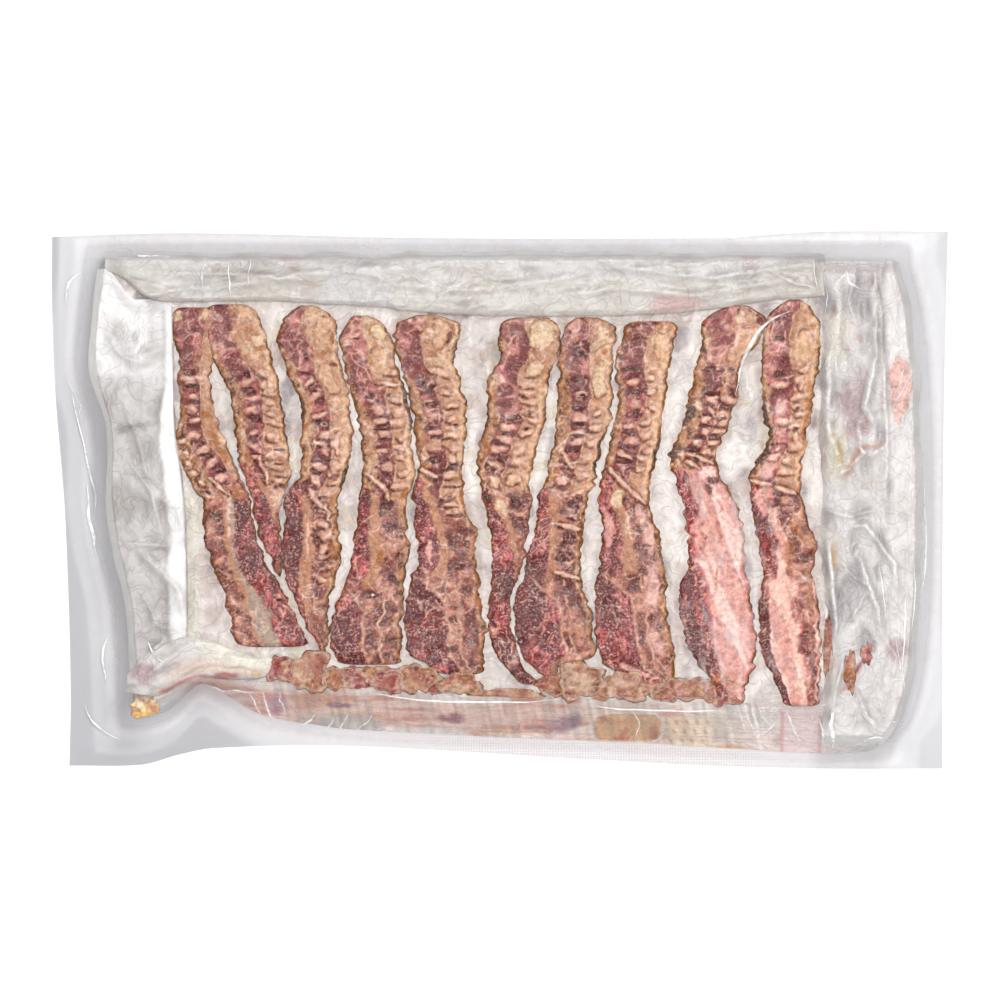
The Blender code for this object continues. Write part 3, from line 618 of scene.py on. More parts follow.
def add_knobs(colour, z, look, seed, at, sides):
    """Knobs down the fat, joined to the smooth strip on their right, and small ones beside the lean."""
    (x, y, t, w), (knob_a, knob_b) = at, sides
    for k, ky in enumerate(look.get("knobs", ())):
        centre = 0.46 * knob_a + 0.54 * knob_b
        half_p = (0.6 + 0.16 * math.sin(3.7 * k + seed)) * (knob_b - knob_a) * w
        half_q = 2.0 + 0.6 * math.sin(5.3 * k + seed)
        p = (t - centre) * w + 2.0 * wobble(x, y, 3.8, seed + k + 70, 2) - 0.8 * math.sin(4.1 * k)
        q = y - ky - 0.7 * math.sin(2.2 * k + seed) + 0.2 * math.sin(1.3 * k + seed) * p
        q = q + 1.8 * wobble(x, y, 3.4, seed + k + 90, 2)
        r = oval(p / half_p, q / half_q, 2.2)
        bulge = 1 - np.clip(r, 0, 1) ** 2.4
        z = z + 1.0 * bulge
        # The lighter top of each knob is painted highlight.
        colour = paint(
            colour,
            (srgb(214, 168, 146), 0.7 * ease(bulge, 0.0, 0.6)),
            (srgb(236, 200, 182), 0.6 * ease(bulge, 0.5, 1.0)),
        )
        # A dark gap on the front and left of each knob: painted shadow, also sunk a little.
        gap_shadow = hump(r, 1.2, 0.26) * ease(q, 0.9, -0.9) * ease(p, 0.9 * half_p, -0.6 * half_p)
        z = z - 0.6 * gap_shadow
        colour = mix(colour, srgb(152, 84, 76), (0.5 + 0.3 * math.sin(2.9 * k + seed)) * gap_shadow)
    for k, ky in enumerate(look.get("side_knobs", ())):
        r = np.hypot((t - 0.16 - 0.03 * math.sin(2.0 * k)) * w / 2.0, (y - ky) / 1.7)
        r = r + 0.3 * wobble(x, y, 2.6, seed + 28, 2)
        bulge = 1 - np.clip(r, 0, 1) ** 2.6
        z = z + 1.1 * bulge
        # A dark ring round each small knob is painted shade.
        colour = paint(
            colour,
            (srgb(216, 174, 152), 0.8 * bulge),
            (srgb(142, 80, 70), 0.6 * hump(r, 1.2, 0.2)),
        )
    return colour, z


def add_marks(colour, z, look, seed, at):
    """The features of one slice alone: smooth blobs, pits, stains and curls of fat."""
    x, y, t, w = at
    for bt, by, bp, bq, kind in look["blobs"]:
        r = oval((t - bt) * w / bp, (y - by) / bq, 2.4)
        r = r + 1.3 * wobble(x, y, 5.0, seed + 23, 3)
        bulge = 1 - np.clip(r, 0, 1) ** 4
        z = z * (1 - 0.5 * bulge) + 0.5 * bulge * 3.2
        colour = paint(
            colour,
            (MEAT[kind], 0.8 * ease(bulge, 0.0, 0.5)),
            (srgb(186, 124, 92), 0.4 * hump(r, 1.08, 0.12) * patches(0.4, 0.6, x, y, 4.0, seed + 24, 2)),
        )
        z = z - 0.15 * hump(r, 1.08, 0.12)
    for pt, py, hp, hq in look["pits"]:
        r = oval((t - pt) * w / hp, (y - py) / hq, 2.6)
        r = r + 1.5 * wobble(x, y, 3.6, seed + 25, 3)
        sunk = ease(r, 1.2, 0.5)
        z = z - 0.9 * sunk
        # Sunk pits of dark lean, deepened with painted shade that is darkest on their front side.
        colour = paint(
            colour,
            (srgb(150, 82, 80), 0.4 * ease(r, 1.9, 1.1)),
            (srgb(140, 66, 68), 0.7 * sunk),
            (srgb(108, 42, 46), 0.4 * sunk * ease((py - y) / hq, -0.9, 0.4)),
        )
    for st, sy, sp, sq, kind in look["stains"]:
        r = np.hypot((t - st) * w / sp, (y - sy) / sq)
        ragged_stain = r + 0.9 * wobble(x, y, 3.2, seed + 27, 3)
        strength = 0.85 if kind in ("caramel", "red", "maroon", "brown") else 0.7
        colour = mix(colour, MEAT[kind], strength * ease(ragged_stain, 1.15, 0.5))
    for at, ay, bt, by in look["curls"]:
        along, off = beside(t * w, y, (at * w, ay), (bt * w, by))
        off = off + 0.5 * wobble(x, y, 2.6, seed + 29, 2)
        thick = 1.25 * (0.55 + 0.9 * along * (1 - along) * 2)
        ridge = np.sqrt(np.clip(1 - (off / thick) ** 2, 0, 1))
        z = z + 1.25 * ridge
        # Each curl's crest is whitest by painted highlight, and a painted shadow lies beside it.
        colour = paint(
            colour,
            (MEAT["pale"], 0.9 * ease(ridge, 0.1, 0.6)),
            (MEAT["milk"], 0.5 * ease(ridge, 0.8, 1.0)),
        )
        shade = hump(off, thick + 0.7, 0.5) * ease(y - (ay + (by - ay) * along), 0.4, -0.4)
        colour = mix(colour, MEAT["maroon"], 0.6 * shade)
    return colour, z


def slice_place(name, number):
    """The surface of one slice, as a function of its share across and along."""
    stations, look = SLICES[name], SLICE_LOOKS[name]
    first, last = stations[0][0], stations[-1][0]
    lefts, rights = [(s[0], s[1]) for s in stations], [(s[0], s[2]) for s in stations]
    seed = 1.7 * number + 0.4

    def place(u, v, w):
        t = 0.3 * crowded(u) + 0.7 * u
        y = last + (first - last) * (0.25 * crowded(v) + 0.75 * v)
        left, right = through(lefts, y), through(rights, y)
        ragged = wobble(y, 0 * y, 5.0, seed, 3)
        ragged_right = wobble(y, 0 * y + 40, 5.0, seed, 3)
        jag = 1.2 * wobble(y, 0 * y + 3, 2.2, seed + 33, 2)
        jag_right = 1.2 * wobble(y, 0 * y + 9, 2.2, seed + 34, 2)
        left, right = left + 3.4 * ragged + 1.5 * jag, right + 3.4 * ragged_right + 1.5 * jag_right
        from_end = np.minimum(first - y, y - last)
        turn_in = np.where(first - y < y - last, (first - y) / 4.5, (y - last) / 2.0)
        full = 0.5 + 0.5 * np.sqrt(np.clip(1 - (1 - np.clip(turn_in, 0, 1)) ** 2, 0, 1))
        middle, half = (left + right) / 2, (right - left) / 2 * full
        x = middle + half * (2 * t - 1)
        w = right - left
        edge = np.minimum(t, 1 - t) * w
        rounded = np.sqrt(np.clip(1 - (1 - np.clip(edge / 1.7, 0, 1)) ** 2, 0, 1))
        rounded = rounded * np.sqrt(np.clip(from_end / 2.0, 0, 1))

        head = ease(y, look["head"] - 4, look["head"] + 4)
        sway = (3.6 * wobble(x, y, 6.0, seed + 5, 3) + 9.0 * head * wobble(x, y, 10.0, seed + 51, 3)) / w
        break_left, break_right = look["break"]
        split = break_left + (break_right - break_left) * t + 3.0 * wobble(x, y, 6.0, seed + 2, 2)
        below = ease(y, split + 0.7, split - 0.7)
        upper_edges = column_edges(look["upper_at"], y, sway)
        lower_edges = column_edges(look["lower_at"], y, sway)
        up_colour, up = side_by_side(look.get("upper", UPPER), upper_edges, t, 0.025)
        low_colour, low = side_by_side(look.get("lower", LOWER), lower_edges, t, 0.03)
        share = {k: up.get(k, 0) * (1 - below) + low.get(k, 0) * below for k in set(up) | set(low)}
        colour = up_colour + (low_colour - up_colour) * below[:, None]
        if "lens" in look:
            start, width = look["lens"]
            grow = ease(y, start, start - 17.0)
            m = -0.06 + (width + 0.06) * np.sqrt(grow)
            edges = (m - 0.02, m + 0.03, np.maximum(m + 0.1, 0.68), np.maximum(m + 0.14, 0.72), 0 * y + 0.92)
            edges = [e + 0.6 * sway for e in edges]
            lens_colour, lens = side_by_side(look.get("lens_kinds", LENS), edges, t, 0.02)
            shown = ease(y, start + 1, start - 5)
            colour = colour + (lens_colour - colour) * shown[:, None]
            kinds = set(share) | set(lens)
            share = {k: share.get(k, 0) * (1 - shown) + lens.get(k, 0) * shown for k in kinds}

        z = 2.1 + 0.35 * np.sin(y / 6.1 + seed) + 0.6 * wobble(x, y, 9.0, seed + 8, 2)
        lean_low = share.get("dark", 0) + share.get("lens", 0)
        z = z - 0.35 * share.get("lean", 0) * (y < look["head"]) - 0.2 * share.get("knobs", 0)
        z = z + 0.35 * (share.get("line", 0) + share.get("pale", 0)) + 0.2 * share.get("smooth", 0)

        # The head: marbled lean beside tan fat.
        lean = share.get("lean", 0)
        head_lean = head * lean
        warp_x = x + 6.0 * wobble(x, y, 8.0, seed + 41, 2)
        warp_y = y + 6.0 * wobble(x, y, 8.0, seed + 43, 2)
        flush = clouds(warp_x, warp_y, 7.0, seed + 6, 3)
        colour = paint(
            colour,
            (MEAT["purple"], 0.45 * ease(flush, 0.46, 0.3) * lean),
            (MEAT["red"], 0.5 * patches(0.52, 0.68, warp_x, warp_y, 9.0, seed + 7, 3) * head_lean),
            (MEAT["blush"], 0.8 * ease(flush, 0.54, 0.68) * lean),
        )
        marble = veins(warp_x, warp_y, 7.0, seed + 3, 8.0) + 0.8 * veins(warp_x, warp_y, 3.6, seed + 4, 7.0)
        marble = np.clip(marble, 0, 1)
        marble = marble * patches(0.34, 0.6, x, y, 9.0, seed + 44, 2)
        colour = mix(colour, MEAT["rim"], 0.85 * marble * head_lean)
        head_fat = head * (1 - lean)
        colour = paint(
            colour,
            (MEAT["cream"], 0.6 * patches(0.46, 0.7, warp_x, warp_y, 7.0, seed + 8, 2) * head_fat),
            (MEAT["orange"], 0.6 * patches(0.58, 0.74, x, y, 5.0, seed + 9, 3) * head_fat),
        )
        z = z + head * (1.3 * wobble(warp_x, warp_y, 5.0, seed + 12, 3) + 0.3 * marble * lean)

        at = (x, y, t, w)
        colour, z = add_pads(colour, z, look, seed, at, upper_edges[:2], lean * (1 - head))
        colour, z = add_knobs(colour, z, look, seed, at, upper_edges[2:4])

        # The lower part: knobbly pink bands, and granular lean under a net of frost.
        lumps = clouds(x, y, 4.4, seed + 14, 2, 3.4)
        middle_band = share.get("mid", 0)
        z = z + 2.0 * (lumps - 0.5) * middle_band
        colour = paint(
            colour,
            (srgb(140, 70, 64), 0.75 * ease(lumps, 0.45, 0.3) * middle_band),
            (srgb(214, 164, 142), 0.75 * ease(lumps, 0.53, 0.68) * middle_band),
        )
        rough = clouds(x, y, 2.2, seed + 16, 3, 3.0)
        z = z + 1.3 * (rough - 0.5) * lean_low
        blotch = clouds(warp_x, warp_y, 7.0, seed + 21, 3, 12.0)
        colour = paint(
            colour,
            (srgb(100, 40, 50), 0.5 * ease(blotch, 0.45, 0.3) * lean_low),
            (srgb(158, 40, 48), 0.7 * patches(0.56, 0.7, warp_x, warp_y, 8.0, seed + 22, 2, 14.0) * lean_low),
        )
        frost = veins(warp_x, warp_y, 3.4, seed + 46, 6.0, 4.6)
        frost = frost + 0.8 * veins(warp_x, warp_y, 1.8, seed + 47, 5.0, 2.4)
        frost = np.clip(frost, 0, 1) * patches(0.32, 0.6, x, y, 8.0, seed + 48, 2, 14.0)
        colour = mix(colour, srgb(214, 150, 150), 0.85 * frost * lean_low)
        z = z + 0.4 * frost * lean_low
        crumbs = clouds(x, y, 2.4, seed + 18, 3)
        strip = share.get("strip", 0)
        z = z + 1.5 * (crumbs - 0.5) * strip
        colour = paint(
            colour,
            (MEAT["orange"], 0.5 * patches(0.52, 0.7, x, y, 6.0, seed + 20, 3, 9.0) * strip),
            (MEAT["brown"], 0.7 * ease(crumbs, 0.38, 0.24) * strip),
            (MEAT["cream"], 0.4 * ease(crumbs, 0.58, 0.7) * strip),
        )

        colour, z = add_marks(colour, z, look, seed, at)

        # Painted highlight on the high places and painted shade in the low ones, and pale wisps run across.
        proud = proud_of(z, SLICE_GRID, 14)
        colour = paint(
            colour,
            (srgb(132, 64, 54), 0.6 * ease(proud, -0.05, -0.42)),
            (srgb(244, 210, 188), 0.6 * ease(proud, 0.1, 0.45)),
        )
        slant = x + 0.35 * y + 3.0 * wobble(x, y, 12.0, seed + 66, 2)
        pale = share.get("milk", 0) + share.get("rim", 0)
        streak = patches(0.4, 0.58, slant, y, 3.0, seed + 67, 2, 22.0) * pale
        colour = mix(colour, srgb(206, 144, 136), 0.6 * streak)
        z = z - 0.5 * streak
        wisp = veins(warp_x, warp_y, 5.6, seed + 61, 16.0) * patches(0.46, 0.62, x, y, 7.0, seed + 62, 2)
        crossing = 0.8 * veins(warp_y, warp_x, 4.0, seed + 63, 14.0)
        wisp = wisp + crossing * patches(0.5, 0.66, x, y, 6.0, seed + 64, 2)
        colour = mix(colour, srgb(244, 222, 208), 0.75 * np.clip(wisp, 0, 1))

        # Toasted edges.
        toast = clouds(x, y, 4.0, seed + 31, 3)
        rim = ease(edge + 1.2 * wobble(x, y, 2.6, seed + 35, 2), 2.2, 0.6)
        colour = mix(colour, srgb(170, 104, 52), 0.8 * rim * ease(toast, 0.34, 0.56))
        thin = ease(edge + 0.9 * wobble(x, y, 1.8, seed + 36, 2), 1.0, 0.2)
        colour = mix(colour, srgb(112, 58, 30), 0.6 * thin * patches(0.46, 0.6, x, y, 6.0, seed + 37, 3))
        bright = colour.mean(1)
        # Overall tone, a little lighter towards the tails, and lighter towards the right: painted light
        # falling from that side.
        tone_and_side_light = 0.53 + 0.04 * ease(y, 60.0, 0.0) + 0.05 * ease(x, 30.0, 120.0)
        gain = np.maximum(0.46, np.where(bright < 0.3, bright / 0.3, (bright / 0.3) ** 0.5))
        colour = bright[:, None] + (colour - bright[:, None]) * (1.3 + 0.5 * lean_low)[:, None]
        colour = colour * (tone_and_side_light * gain)[:, None]
        z = SLICE_Z + np.maximum(0.2, z * (0.12 + 0.88 * rounded))
        grain = 0.25 + 0.75 * np.clip(lean_low + 0.6 * middle_band, 0, 1)
        return x, y, z, {"tint": np.clip(colour, 0, 1), "grain": grain}

    return place


# ---- parchment -----------------------------------------------------------------------------------------

PAPER = {
    "white": srgb(214, 209, 206),
    "cream": srgb(220, 214, 198),
    "grey": srgb(180, 174, 173),
    "shade": srgb(142, 132, 134),
    "show": srgb(164, 132, 134),
    "grease": srgb(176, 158, 146),
    "yellow": srgb(200, 174, 124),
    "bright": srgb(242, 239, 236),
    "pink": srgb(204, 152, 144),
    "toast": srgb(190, 122, 70),
}


def creased(x, y, size, seed, size_y=None):
    """The relief of crumpled sheet: flat facets between sharp folds, from 0 to 1."""
    n = clouds(x, y, size, seed, 3, size_y)
    m = clouds(x + 31.0, y - 17.0, size * 0.6, seed + 5, 2, (size_y or size) * 0.6)
    return 1.0 - (0.62 * np.abs(2 * n - 1) + 0.38 * np.abs(2 * m - 1)) * 1.6


def fold_line(x, y, points, width):
    """A soft ridge of height 1 along a line through points, tapering to its ends."""
    x = x + 1.2 * wobble(x, y, 6.0, 91.0, 2)
    y = y + 1.2 * wobble(x, y, 6.0, 93.0, 2)
    nearest = np.full(x.shape, 1e9)
    place = np.zeros(x.shape)
    for k, (start, end) in enumerate(zip(points, points[1:])):
        along, off = beside(x, y, start, end)
        place = np.where(off < nearest, (k + along) / (len(points) - 1), place)
        nearest = np.minimum(nearest, off)
    return np.exp(-((nearest / width) ** 2)) * np.sqrt(np.clip(4 * place * (1 - place) + 0.12, 0, 1))


def spot(x, y, centre, size):
    """A ragged patch, 1 in its middle."""
    r = np.hypot((x - centre[0]) / size[0], (y - centre[1]) / size[1])
    return ease(r + 0.9 * wobble(x, y, 6.0, 3.3, 3), 1.1, 0.4)


def folds_over(x, y, folds):
    """All the folds of a piece added up; each is (height, width, points)."""
    return sum(height * fold_line(x, y, points, width) for height, width, points in folds)


def paper_tint(x, y, relief, seed):
    """Off-white greasy parchment: painted highlight on high relief, painted shade in its hollows, mottled
    where fat has soaked in.
    """
    colour = paint(
        PAPER["grey"],
        (PAPER["white"], ease(relief, 0.25, 0.7)),
        (PAPER["grease"], 0.35 * patches(0.5, 0.72, x, y, 16.0, seed, 3)),
    )
    return mix(colour, PAPER["shade"], 0.3 * ease(relief, 0.35, 0.05))


def painted_fold_light(colour, z, size, steps, depth):
    """Painted light on folded paper: a painted highlight along what stands up, painted shade grey in the
    hollows.
    """
    proud = proud_of(z, size, steps)
    colour = mix(colour, srgb(128, 120, 122), 0.65 * ease(proud, -0.1 * depth, -depth))
    return mix(colour, srgb(252, 250, 248), 0.8 * ease(proud, 0.1 * depth, depth))


def sheet_place(u, v, w):
    """The sheet under the slices, seen between them."""
    y = -96.0 + 204.0 * v
    start = through(LEFT_SIDE, y) + 2.0
    x = start + (149.0 - start) * u
    y = np.maximum(y, through(FRONT_SHOULDER, x) + 1.2)
    relief = creased(x, y, 13.0, 2.0, 20.0)
    fine = creased(x, y, 5.0, 4.4, 9.0)
    z = SHEET_Z - 0.6 + 1.2 * relief + 0.35 * fine
    # The grey coat on low relief is painted shade; the painted fold light below adds painted highlight and
    # shade.
    colour = paint(
        srgb(214, 203, 196),
        (srgb(158, 142, 146), 0.8 * ease(relief, 0.5, 0.15)),
        (srgb(238, 230, 223), 0.7 * patches(0.48, 0.64, x, y, 12.0, 4.0, 3, 20.0)),
        (srgb(164, 134, 122), 0.4 * patches(0.56, 0.7, x, y, 12.0, 6.0, 3)),
        (srgb(200, 182, 136), 0.4 * patches(0.66, 0.76, x, y, 9.0, 6.5, 3)),
        (srgb(214, 208, 192), 0.8 * ease(x, -134, -142) * ease(y, 10, -4)),
    )
    colour = painted_fold_light(colour, z, SHEET_GRID, 16, 0.7)
    colour = painted_fold_light(colour, z, SHEET_GRID, 5, 0.4) * 0.86
    return x, y, z, {"tint": np.clip(colour, 0, 1), "crinkle": 0.3 + 0 * x}


def wall_drop(down):
    """How far a flap has sunk below the top of the stack, for its share down the wall."""
    return WALL_DROP * down**1.7


def over_the_side(share, part):
    """Splits a flap's share at its part on the wall: how far down the wall, and how far in on top."""
    return np.clip((part - share) / part, 0, 1), np.clip((share - part) / (1 - part), 0, 1)


LEFT_FOLDS = (
    (1.6, 4.6, ((-176, 84), (-168, 64), (-156, 70), (-158, 84))),
    (1.0, 1.4, ((-180, 76), (-174, 66), (-162, 62))),
    (1.5, 2.2, ((-166, -22), (-158, -30), (-147, -42), (-145, -54))),
    (0.9, 1.2, ((-172, -20), (-149, -21))), (1.1, 1.5, ((-157, 2), (-148, -4), (-146, -16))),
    (0.8, 1.0, ((-170, 18), (-160, 4), (-154, -18))), (0.9, 1.3, ((-160, -66), (-152, -72), (-143, -62))),
    (0.9, 1.1, ((-165, -74), (-155, -66), (-146, -64))), (0.6, 1.2, ((-176, 50), (-166, 30), (-160, 4))),
    (0.6, 1.0, ((-166, -40), (-156, -58), (-146, -60))),
)


def left_flap_place(u, v, w):
    """The sheet folded in over the left side, its free edge rolled up into a lip over the slices, bright with
    painted highlight.
    """
    down, share = over_the_side(u, 0.2)
    share = 0.3 * crowded(share) + 0.7 * share
    free = ((-72, -143.0), (-20, -143.6), (10, -145.6), (30, -148.6), (92, -150.4))
    front = -84.0 + 21.0 * ease(share, 0.0, 0.9)
    y = front + (92.0 + 14.0 * ease(share, 0.5, 0.0) - front) * v
    ripple = wobble(y, 0 * y, 14.0, 7.7, 3)
    outer = through(LEFT_SIDE, y) + 1.2 + 1.6 * ripple
    x = outer + (through(free, y) - outer) * share + 0.7 * wobble(y, 0 * y, 9.0, 3.0) * share
    x = x - (4.0 + 3.0 * ripple) * down
    relief = creased(x, y, 15.0, 7.0, 22.0)
    inner = (through(free, y) - x) / ease(y, 84, 20).clip(0.45, 1)
    swell = 0.8 + 0.9 * wobble(x, y, 10.0, 7.9, 3)
    lip = ease(inner, 12.5 + 5.0 * ripple, 5.0) * ease(inner, -0.5, 1.6) * swell
    edge = ease(v, 1.0, 0.95) * ease(v, 0.0, 0.05) * ease(down, 0.6, 0.0)
    crease = folds_over(x, y, LEFT_FOLDS)
    fine = creased(x, y, 6.0, 9.1, 16.0)
    z = SLICE_Z + 0.3 + (0.9 + 1.3 * relief + 0.2 * fine + 1.2 * lip + 0.9 * crease) * edge
    z = z - 0.9 * fold_line(x, y, ((-177, 31), (-157, 36)), 1.2)
    z = z - wall_drop(down)
    # Lighter on high relief, on the creases and on the lip is painted highlight, darker on low relief is
    # painted shade, and whiter down the wall is painted light.
    colour = paint(
        srgb(188, 181, 176),
        (PAPER["white"], ease(relief, 0.4, 0.8)),
        (srgb(160, 150, 144), 0.5 * ease(relief, 0.35, 0.05)),
        (srgb(254, 252, 250), ease(lip, 0.25, 0.7)),
        (srgb(252, 249, 248), 0.85 * ease(y, 42, 66) * patches(0.25, 0.5, x, y, 12.0, 8.8, 3)),
        (PAPER["white"], 0.6 * ease(crease, 0.3, 1.0)),
        (srgb(250, 247, 244), 0.9 * ease(down, 0.0, 0.25)),
    )
    colour = painted_fold_light(colour, z + wall_drop(down), LEFT_GRID, 12, 0.7)
    # A brightness factor: painted highlight on the lip, painted light down the wall, and lighter towards the
    # back.
    painted_light_and_tone = 0.65 + 0.14 * np.maximum(ease(lip, 0.2, 0.7), 0.8 * ease(y, 42, 66)) + 0.2 * ease(down, 0.0, 0.25)
    colour = colour * painted_light_and_tone[:, None]
    return x, y, z, {"tint": np.clip(colour, 0, 1), "crinkle": 0.06 * ease(lip, 0.6, 0.2)}


BACK_FOLDS = (
    (1.4, 2.6, ((-142, 94), (-110, 101), (-78, 105), (-28, 107))),
    (1.2, 1.5, ((-150, 104), (-120, 104), (-84, 100))),
    (1.0, 1.8, ((-66, 104), (-30, 96), (6, 98), (40, 104))),
    (1.0, 1.8, ((16, 92), (52, 97), (92, 94), (140, 102))), (1.2, 1.6, ((60, 106), (96, 102), (144, 108))),
    (0.8, 1.2, ((-170, 92), (-140, 98))), (1.0, 1.4, ((-178, 104), (-150, 96))),
    (0.9, 1.0, ((122, 106), (136, 99), (147, 97))),
)


# The free edge of the back flap: (x, y).
BACK_FREE = (
    (-181, 106.0), (-172, 101.0), (-162, 93.0), (-151, 90.4), (-110, 91.3), (-60, 88.6), (-15, 85.0),
    (50, 84.4), (90, 86.6), (116, 90.6), (149, 93.5),
)


def back_flap_place(u, v, w):
    """The sheet folded in over the back, its free edge lying along the slices' heads."""
    x = -181.0 + 330.0 * u
    inner = through(BACK_FREE, x) + 1.4 * wobble(x, 0 * x, 12.0, 5.0, 3)
    down, share = over_the_side(1 - v, 0.16)
    share = 1 - share
    share = 0.3 * crowded(share) + 0.7 * share
    ripple = wobble(x, 0 * x, 18.0, 5.5, 3)
    y = inner + (109.6 + 2.0 * ripple - inner) * share + (4.0 + 3.0 * ripple) * down
    relief = creased(x, y, 26.0, 11.0, 8.0)
    edge = ease(down, 0.6, 0.0) * ease(u, 0.0, 0.03) * ease(u, 1.0, 0.98)
    edge = edge * (0.55 + 0.45 * ease(share, 0.0, 0.12))
    crease = folds_over(x, y, BACK_FOLDS)
    crumple = ease(x, -70, -60) * ease(x, 6, -6) * ease(y, 102, 94)
    fine = creased(x, y, 8.0, 12.1, 4.0)
    z = 1.7 + 1.0 * relief + 0.4 * fine * (1 + 1.5 * crumple) + 0.9 * crease
    z = SLICE_Z + 0.6 + z * edge - wall_drop(down)
    colour = paper_tint(x, y, 0.35 + 0.6 * relief, 12.0)
    colour = paint(
        colour,
        (PAPER["cream"], 0.4 * ease(share, 0.9, 0.5) * patches(0.3, 0.6, x, y, 30.0, 14.0, 2)),
        (PAPER["grease"], 0.3 * patches(0.56, 0.7, x, y, 9.0, 15.0, 3, 5.0)),
        (PAPER["pink"], 0.6 * spot(x, y, (80, 90), (14, 5))),
        (PAPER["pink"], 0.7 * spot(x, y, (-98, 111), (5, 1.6))),
        (PAPER["pink"], 0.7 * spot(x, y, (114, 111), (5, 1.6))),
        # A dark band along the free edge is a painted shadow.
        (srgb(126, 104, 90), 0.5 * ease(share, 0.05, 0.0)),
    )
    # Painted highlight and shade on the folds, then painted light down the wall.
    colour = painted_fold_light(colour, z + wall_drop(down), BACK_GRID, 8, 0.5)
    colour = colour * (0.75 + 0.16 * ease(down, 0.0, 0.3))[:, None]
    return x, y, z, {"tint": np.clip(colour, 0, 1), "crinkle": 0.04 + 0 * x}


RIGHT_FOLDS = (
    (2.2, 1.9, ((172, 90), (173, 66), (171, 60), (168, 43), (171, 36))),
    (1.2, 1.1, ((171, 106), (175, 87), (176, 60), (177, 30), (177, 0))),
    (1.8, 3.0, ((154, 98), (155, 80), (157, 58))), (1.9, 2.6, ((148, 66), (150, 54), (149, 40))),
    (1.7, 2.0, ((149, 38), (153, 26), (158, 8))), (1.3, 1.5, ((164, 34), (166, 22), (160, 14), (152, 10))),
    (1.2, 1.3, ((176, 26), (170, 20), (164, 24))),
    (2.0, 1.5, ((161, -12), (168, -12), (174, -20), (181, -30), (182, -41))),
    (2.2, 2.0, ((162, -20), (168, -36), (173, -49), (175, -61))),
    (2.0, 1.6, ((149, -16), (152, -34), (153, -50), (154, -63))),
    (1.2, 1.2, ((148, -4), (160, -8), (172, -4))), (1.0, 1.0, ((154, -26), (163, -36), (172, -42))),
    (0.9, 0.8, ((158, -60), (166, -46), (170, -40))), (1.6, 1.6, ((164, -87), (168, -99), (173, -106))),
    (1.5, 1.3, ((153, -97), (151, -104), (149, -108))), (1.0, 1.2, ((158, -70), (155, -84), (153, -94))),
    (1.0, 1.2, ((176, -62), (182, -72), (178, -88))), (1.2, 1.4, ((164, 104), (160, 92), (163, 80))),
)


def right_fold_place(u, v, w):
    """The loose right edge of the sheets, crumpled into long folds and hanging over the right side."""
    y = -112.0 + 221.5 * v
    down, share = over_the_side(1 - u, 0.14)
    share = 1 - share
    inner = through(((-112, 147.5), (-94, 148.0), (-52, 150.5), (-44, 148.0), (-20, 146.6), (110, 146.4)), y)
    inner = inner + 1.6 * wobble(y, 0 * y, 9.0, 6.1, 3)
    ripple = wobble(y, 0 * y, 12.0, 6.6, 3)
    x = inner + (through(RIGHT_SIDE, y) - 0.8 + 1.6 * ripple - inner) * share + (4.0 + 3.0 * ripple) * down
    front = ease(v, 0.02, 0.0)
    relief = creased(x, y, 10.0, 17.0, 20.0)
    outer = ease(x, 175, 180)
    lines = creased(x + 2 * wobble(x, y, 20.0, 22.0, 2), y, 2.4, 18.0, 46.0)
    edge = ease(share, -0.02, 0.12) * ease(down, 0.6, 0.0) * ease(v, 0.0, 0.05) * ease(v, 1.0, 0.97)
    crease = folds_over(x, y, RIGHT_FOLDS)
    fine = creased(x, y, 3.6, 20.0, 6.0)
    z = 1.5 + (2.0 - 1.3 * outer) * relief + 0.5 * lines * (0.3 + outer) + 0.4 * fine + 1.0 * crease
    flat = z = SHEET_Z - 0.4 + z * edge
    z = np.maximum(z - wall_drop(down) - 26.0 * front**1.5, FOLD_BASE + 0.6)
    colour = paper_tint(x, y, relief, 18.0)
    colour = paint(
        colour,
        (PAPER["white"], 0.6 * outer),
        (PAPER["show"], 0.75 * spot(x, y, (163, 44), (10, 17)) * ease(crease, 0.9, 0.3)),
        (PAPER["show"], 0.6 * spot(x, y, (152, 22), (6, 9)) * ease(crease, 0.9, 0.3)),
        (PAPER["show"], 0.7 * spot(x, y, (182, -68), (6, 7))),
        (PAPER["shade"], 0.5 * spot(x, y, (160, -42), (8, 12))),
        (PAPER["cream"], 0.7 * spot(x, y, (155, 76), (6, 18))),
        (PAPER["cream"], 0.8 * spot(x, y, (154, 20), (6, 16))),
        (PAPER["yellow"], 0.8 * spot(x, y, (155.5, 22), (3.0, 6))),
        (PAPER["yellow"], 0.7 * spot(x, y, (153, -26), (2.0, 7))),
        (PAPER["toast"], 0.6 * fold_line(x, y, ((158, 10), (165, 24), (176, 26)), 1.4)),
        (PAPER["toast"], 0.3 * patches(0.76, 0.84, x, y, 3.0, 19.0, 2) * ease(x, 176, 166)),
        (PAPER["pink"], 0.7 * spot(x, y, (184, 52), (5, 14))),
        (MEAT["red"], 0.9 * fold_line(x, y, ((171, -66), (164, -78), (157, -88)), 1.1)),
        (srgb(150, 128, 118), 0.5 * fold_line(x, y, ((173.4, 107), (173.6, 88), (173, 70)), 0.8)),
    )
    # Painted highlight and shade on the folds.
    colour = painted_fold_light(colour, flat, RIGHT_GRID, 26, 1.7)
    colour = painted_fold_light(colour, flat, RIGHT_GRID, 8, 1.1)
    colour = mix(colour, PAPER["bright"], 0.8 * ease(v, 0.06, 0.02))
    # Brighter down the wall: painted light.
    colour = colour * (0.84 + 0.1 * outer + 0.14 * ease(down, 0.0, 0.3))[:, None]
    return x, y, z, {"tint": colour, "crinkle": 0.14 + 0 * x}


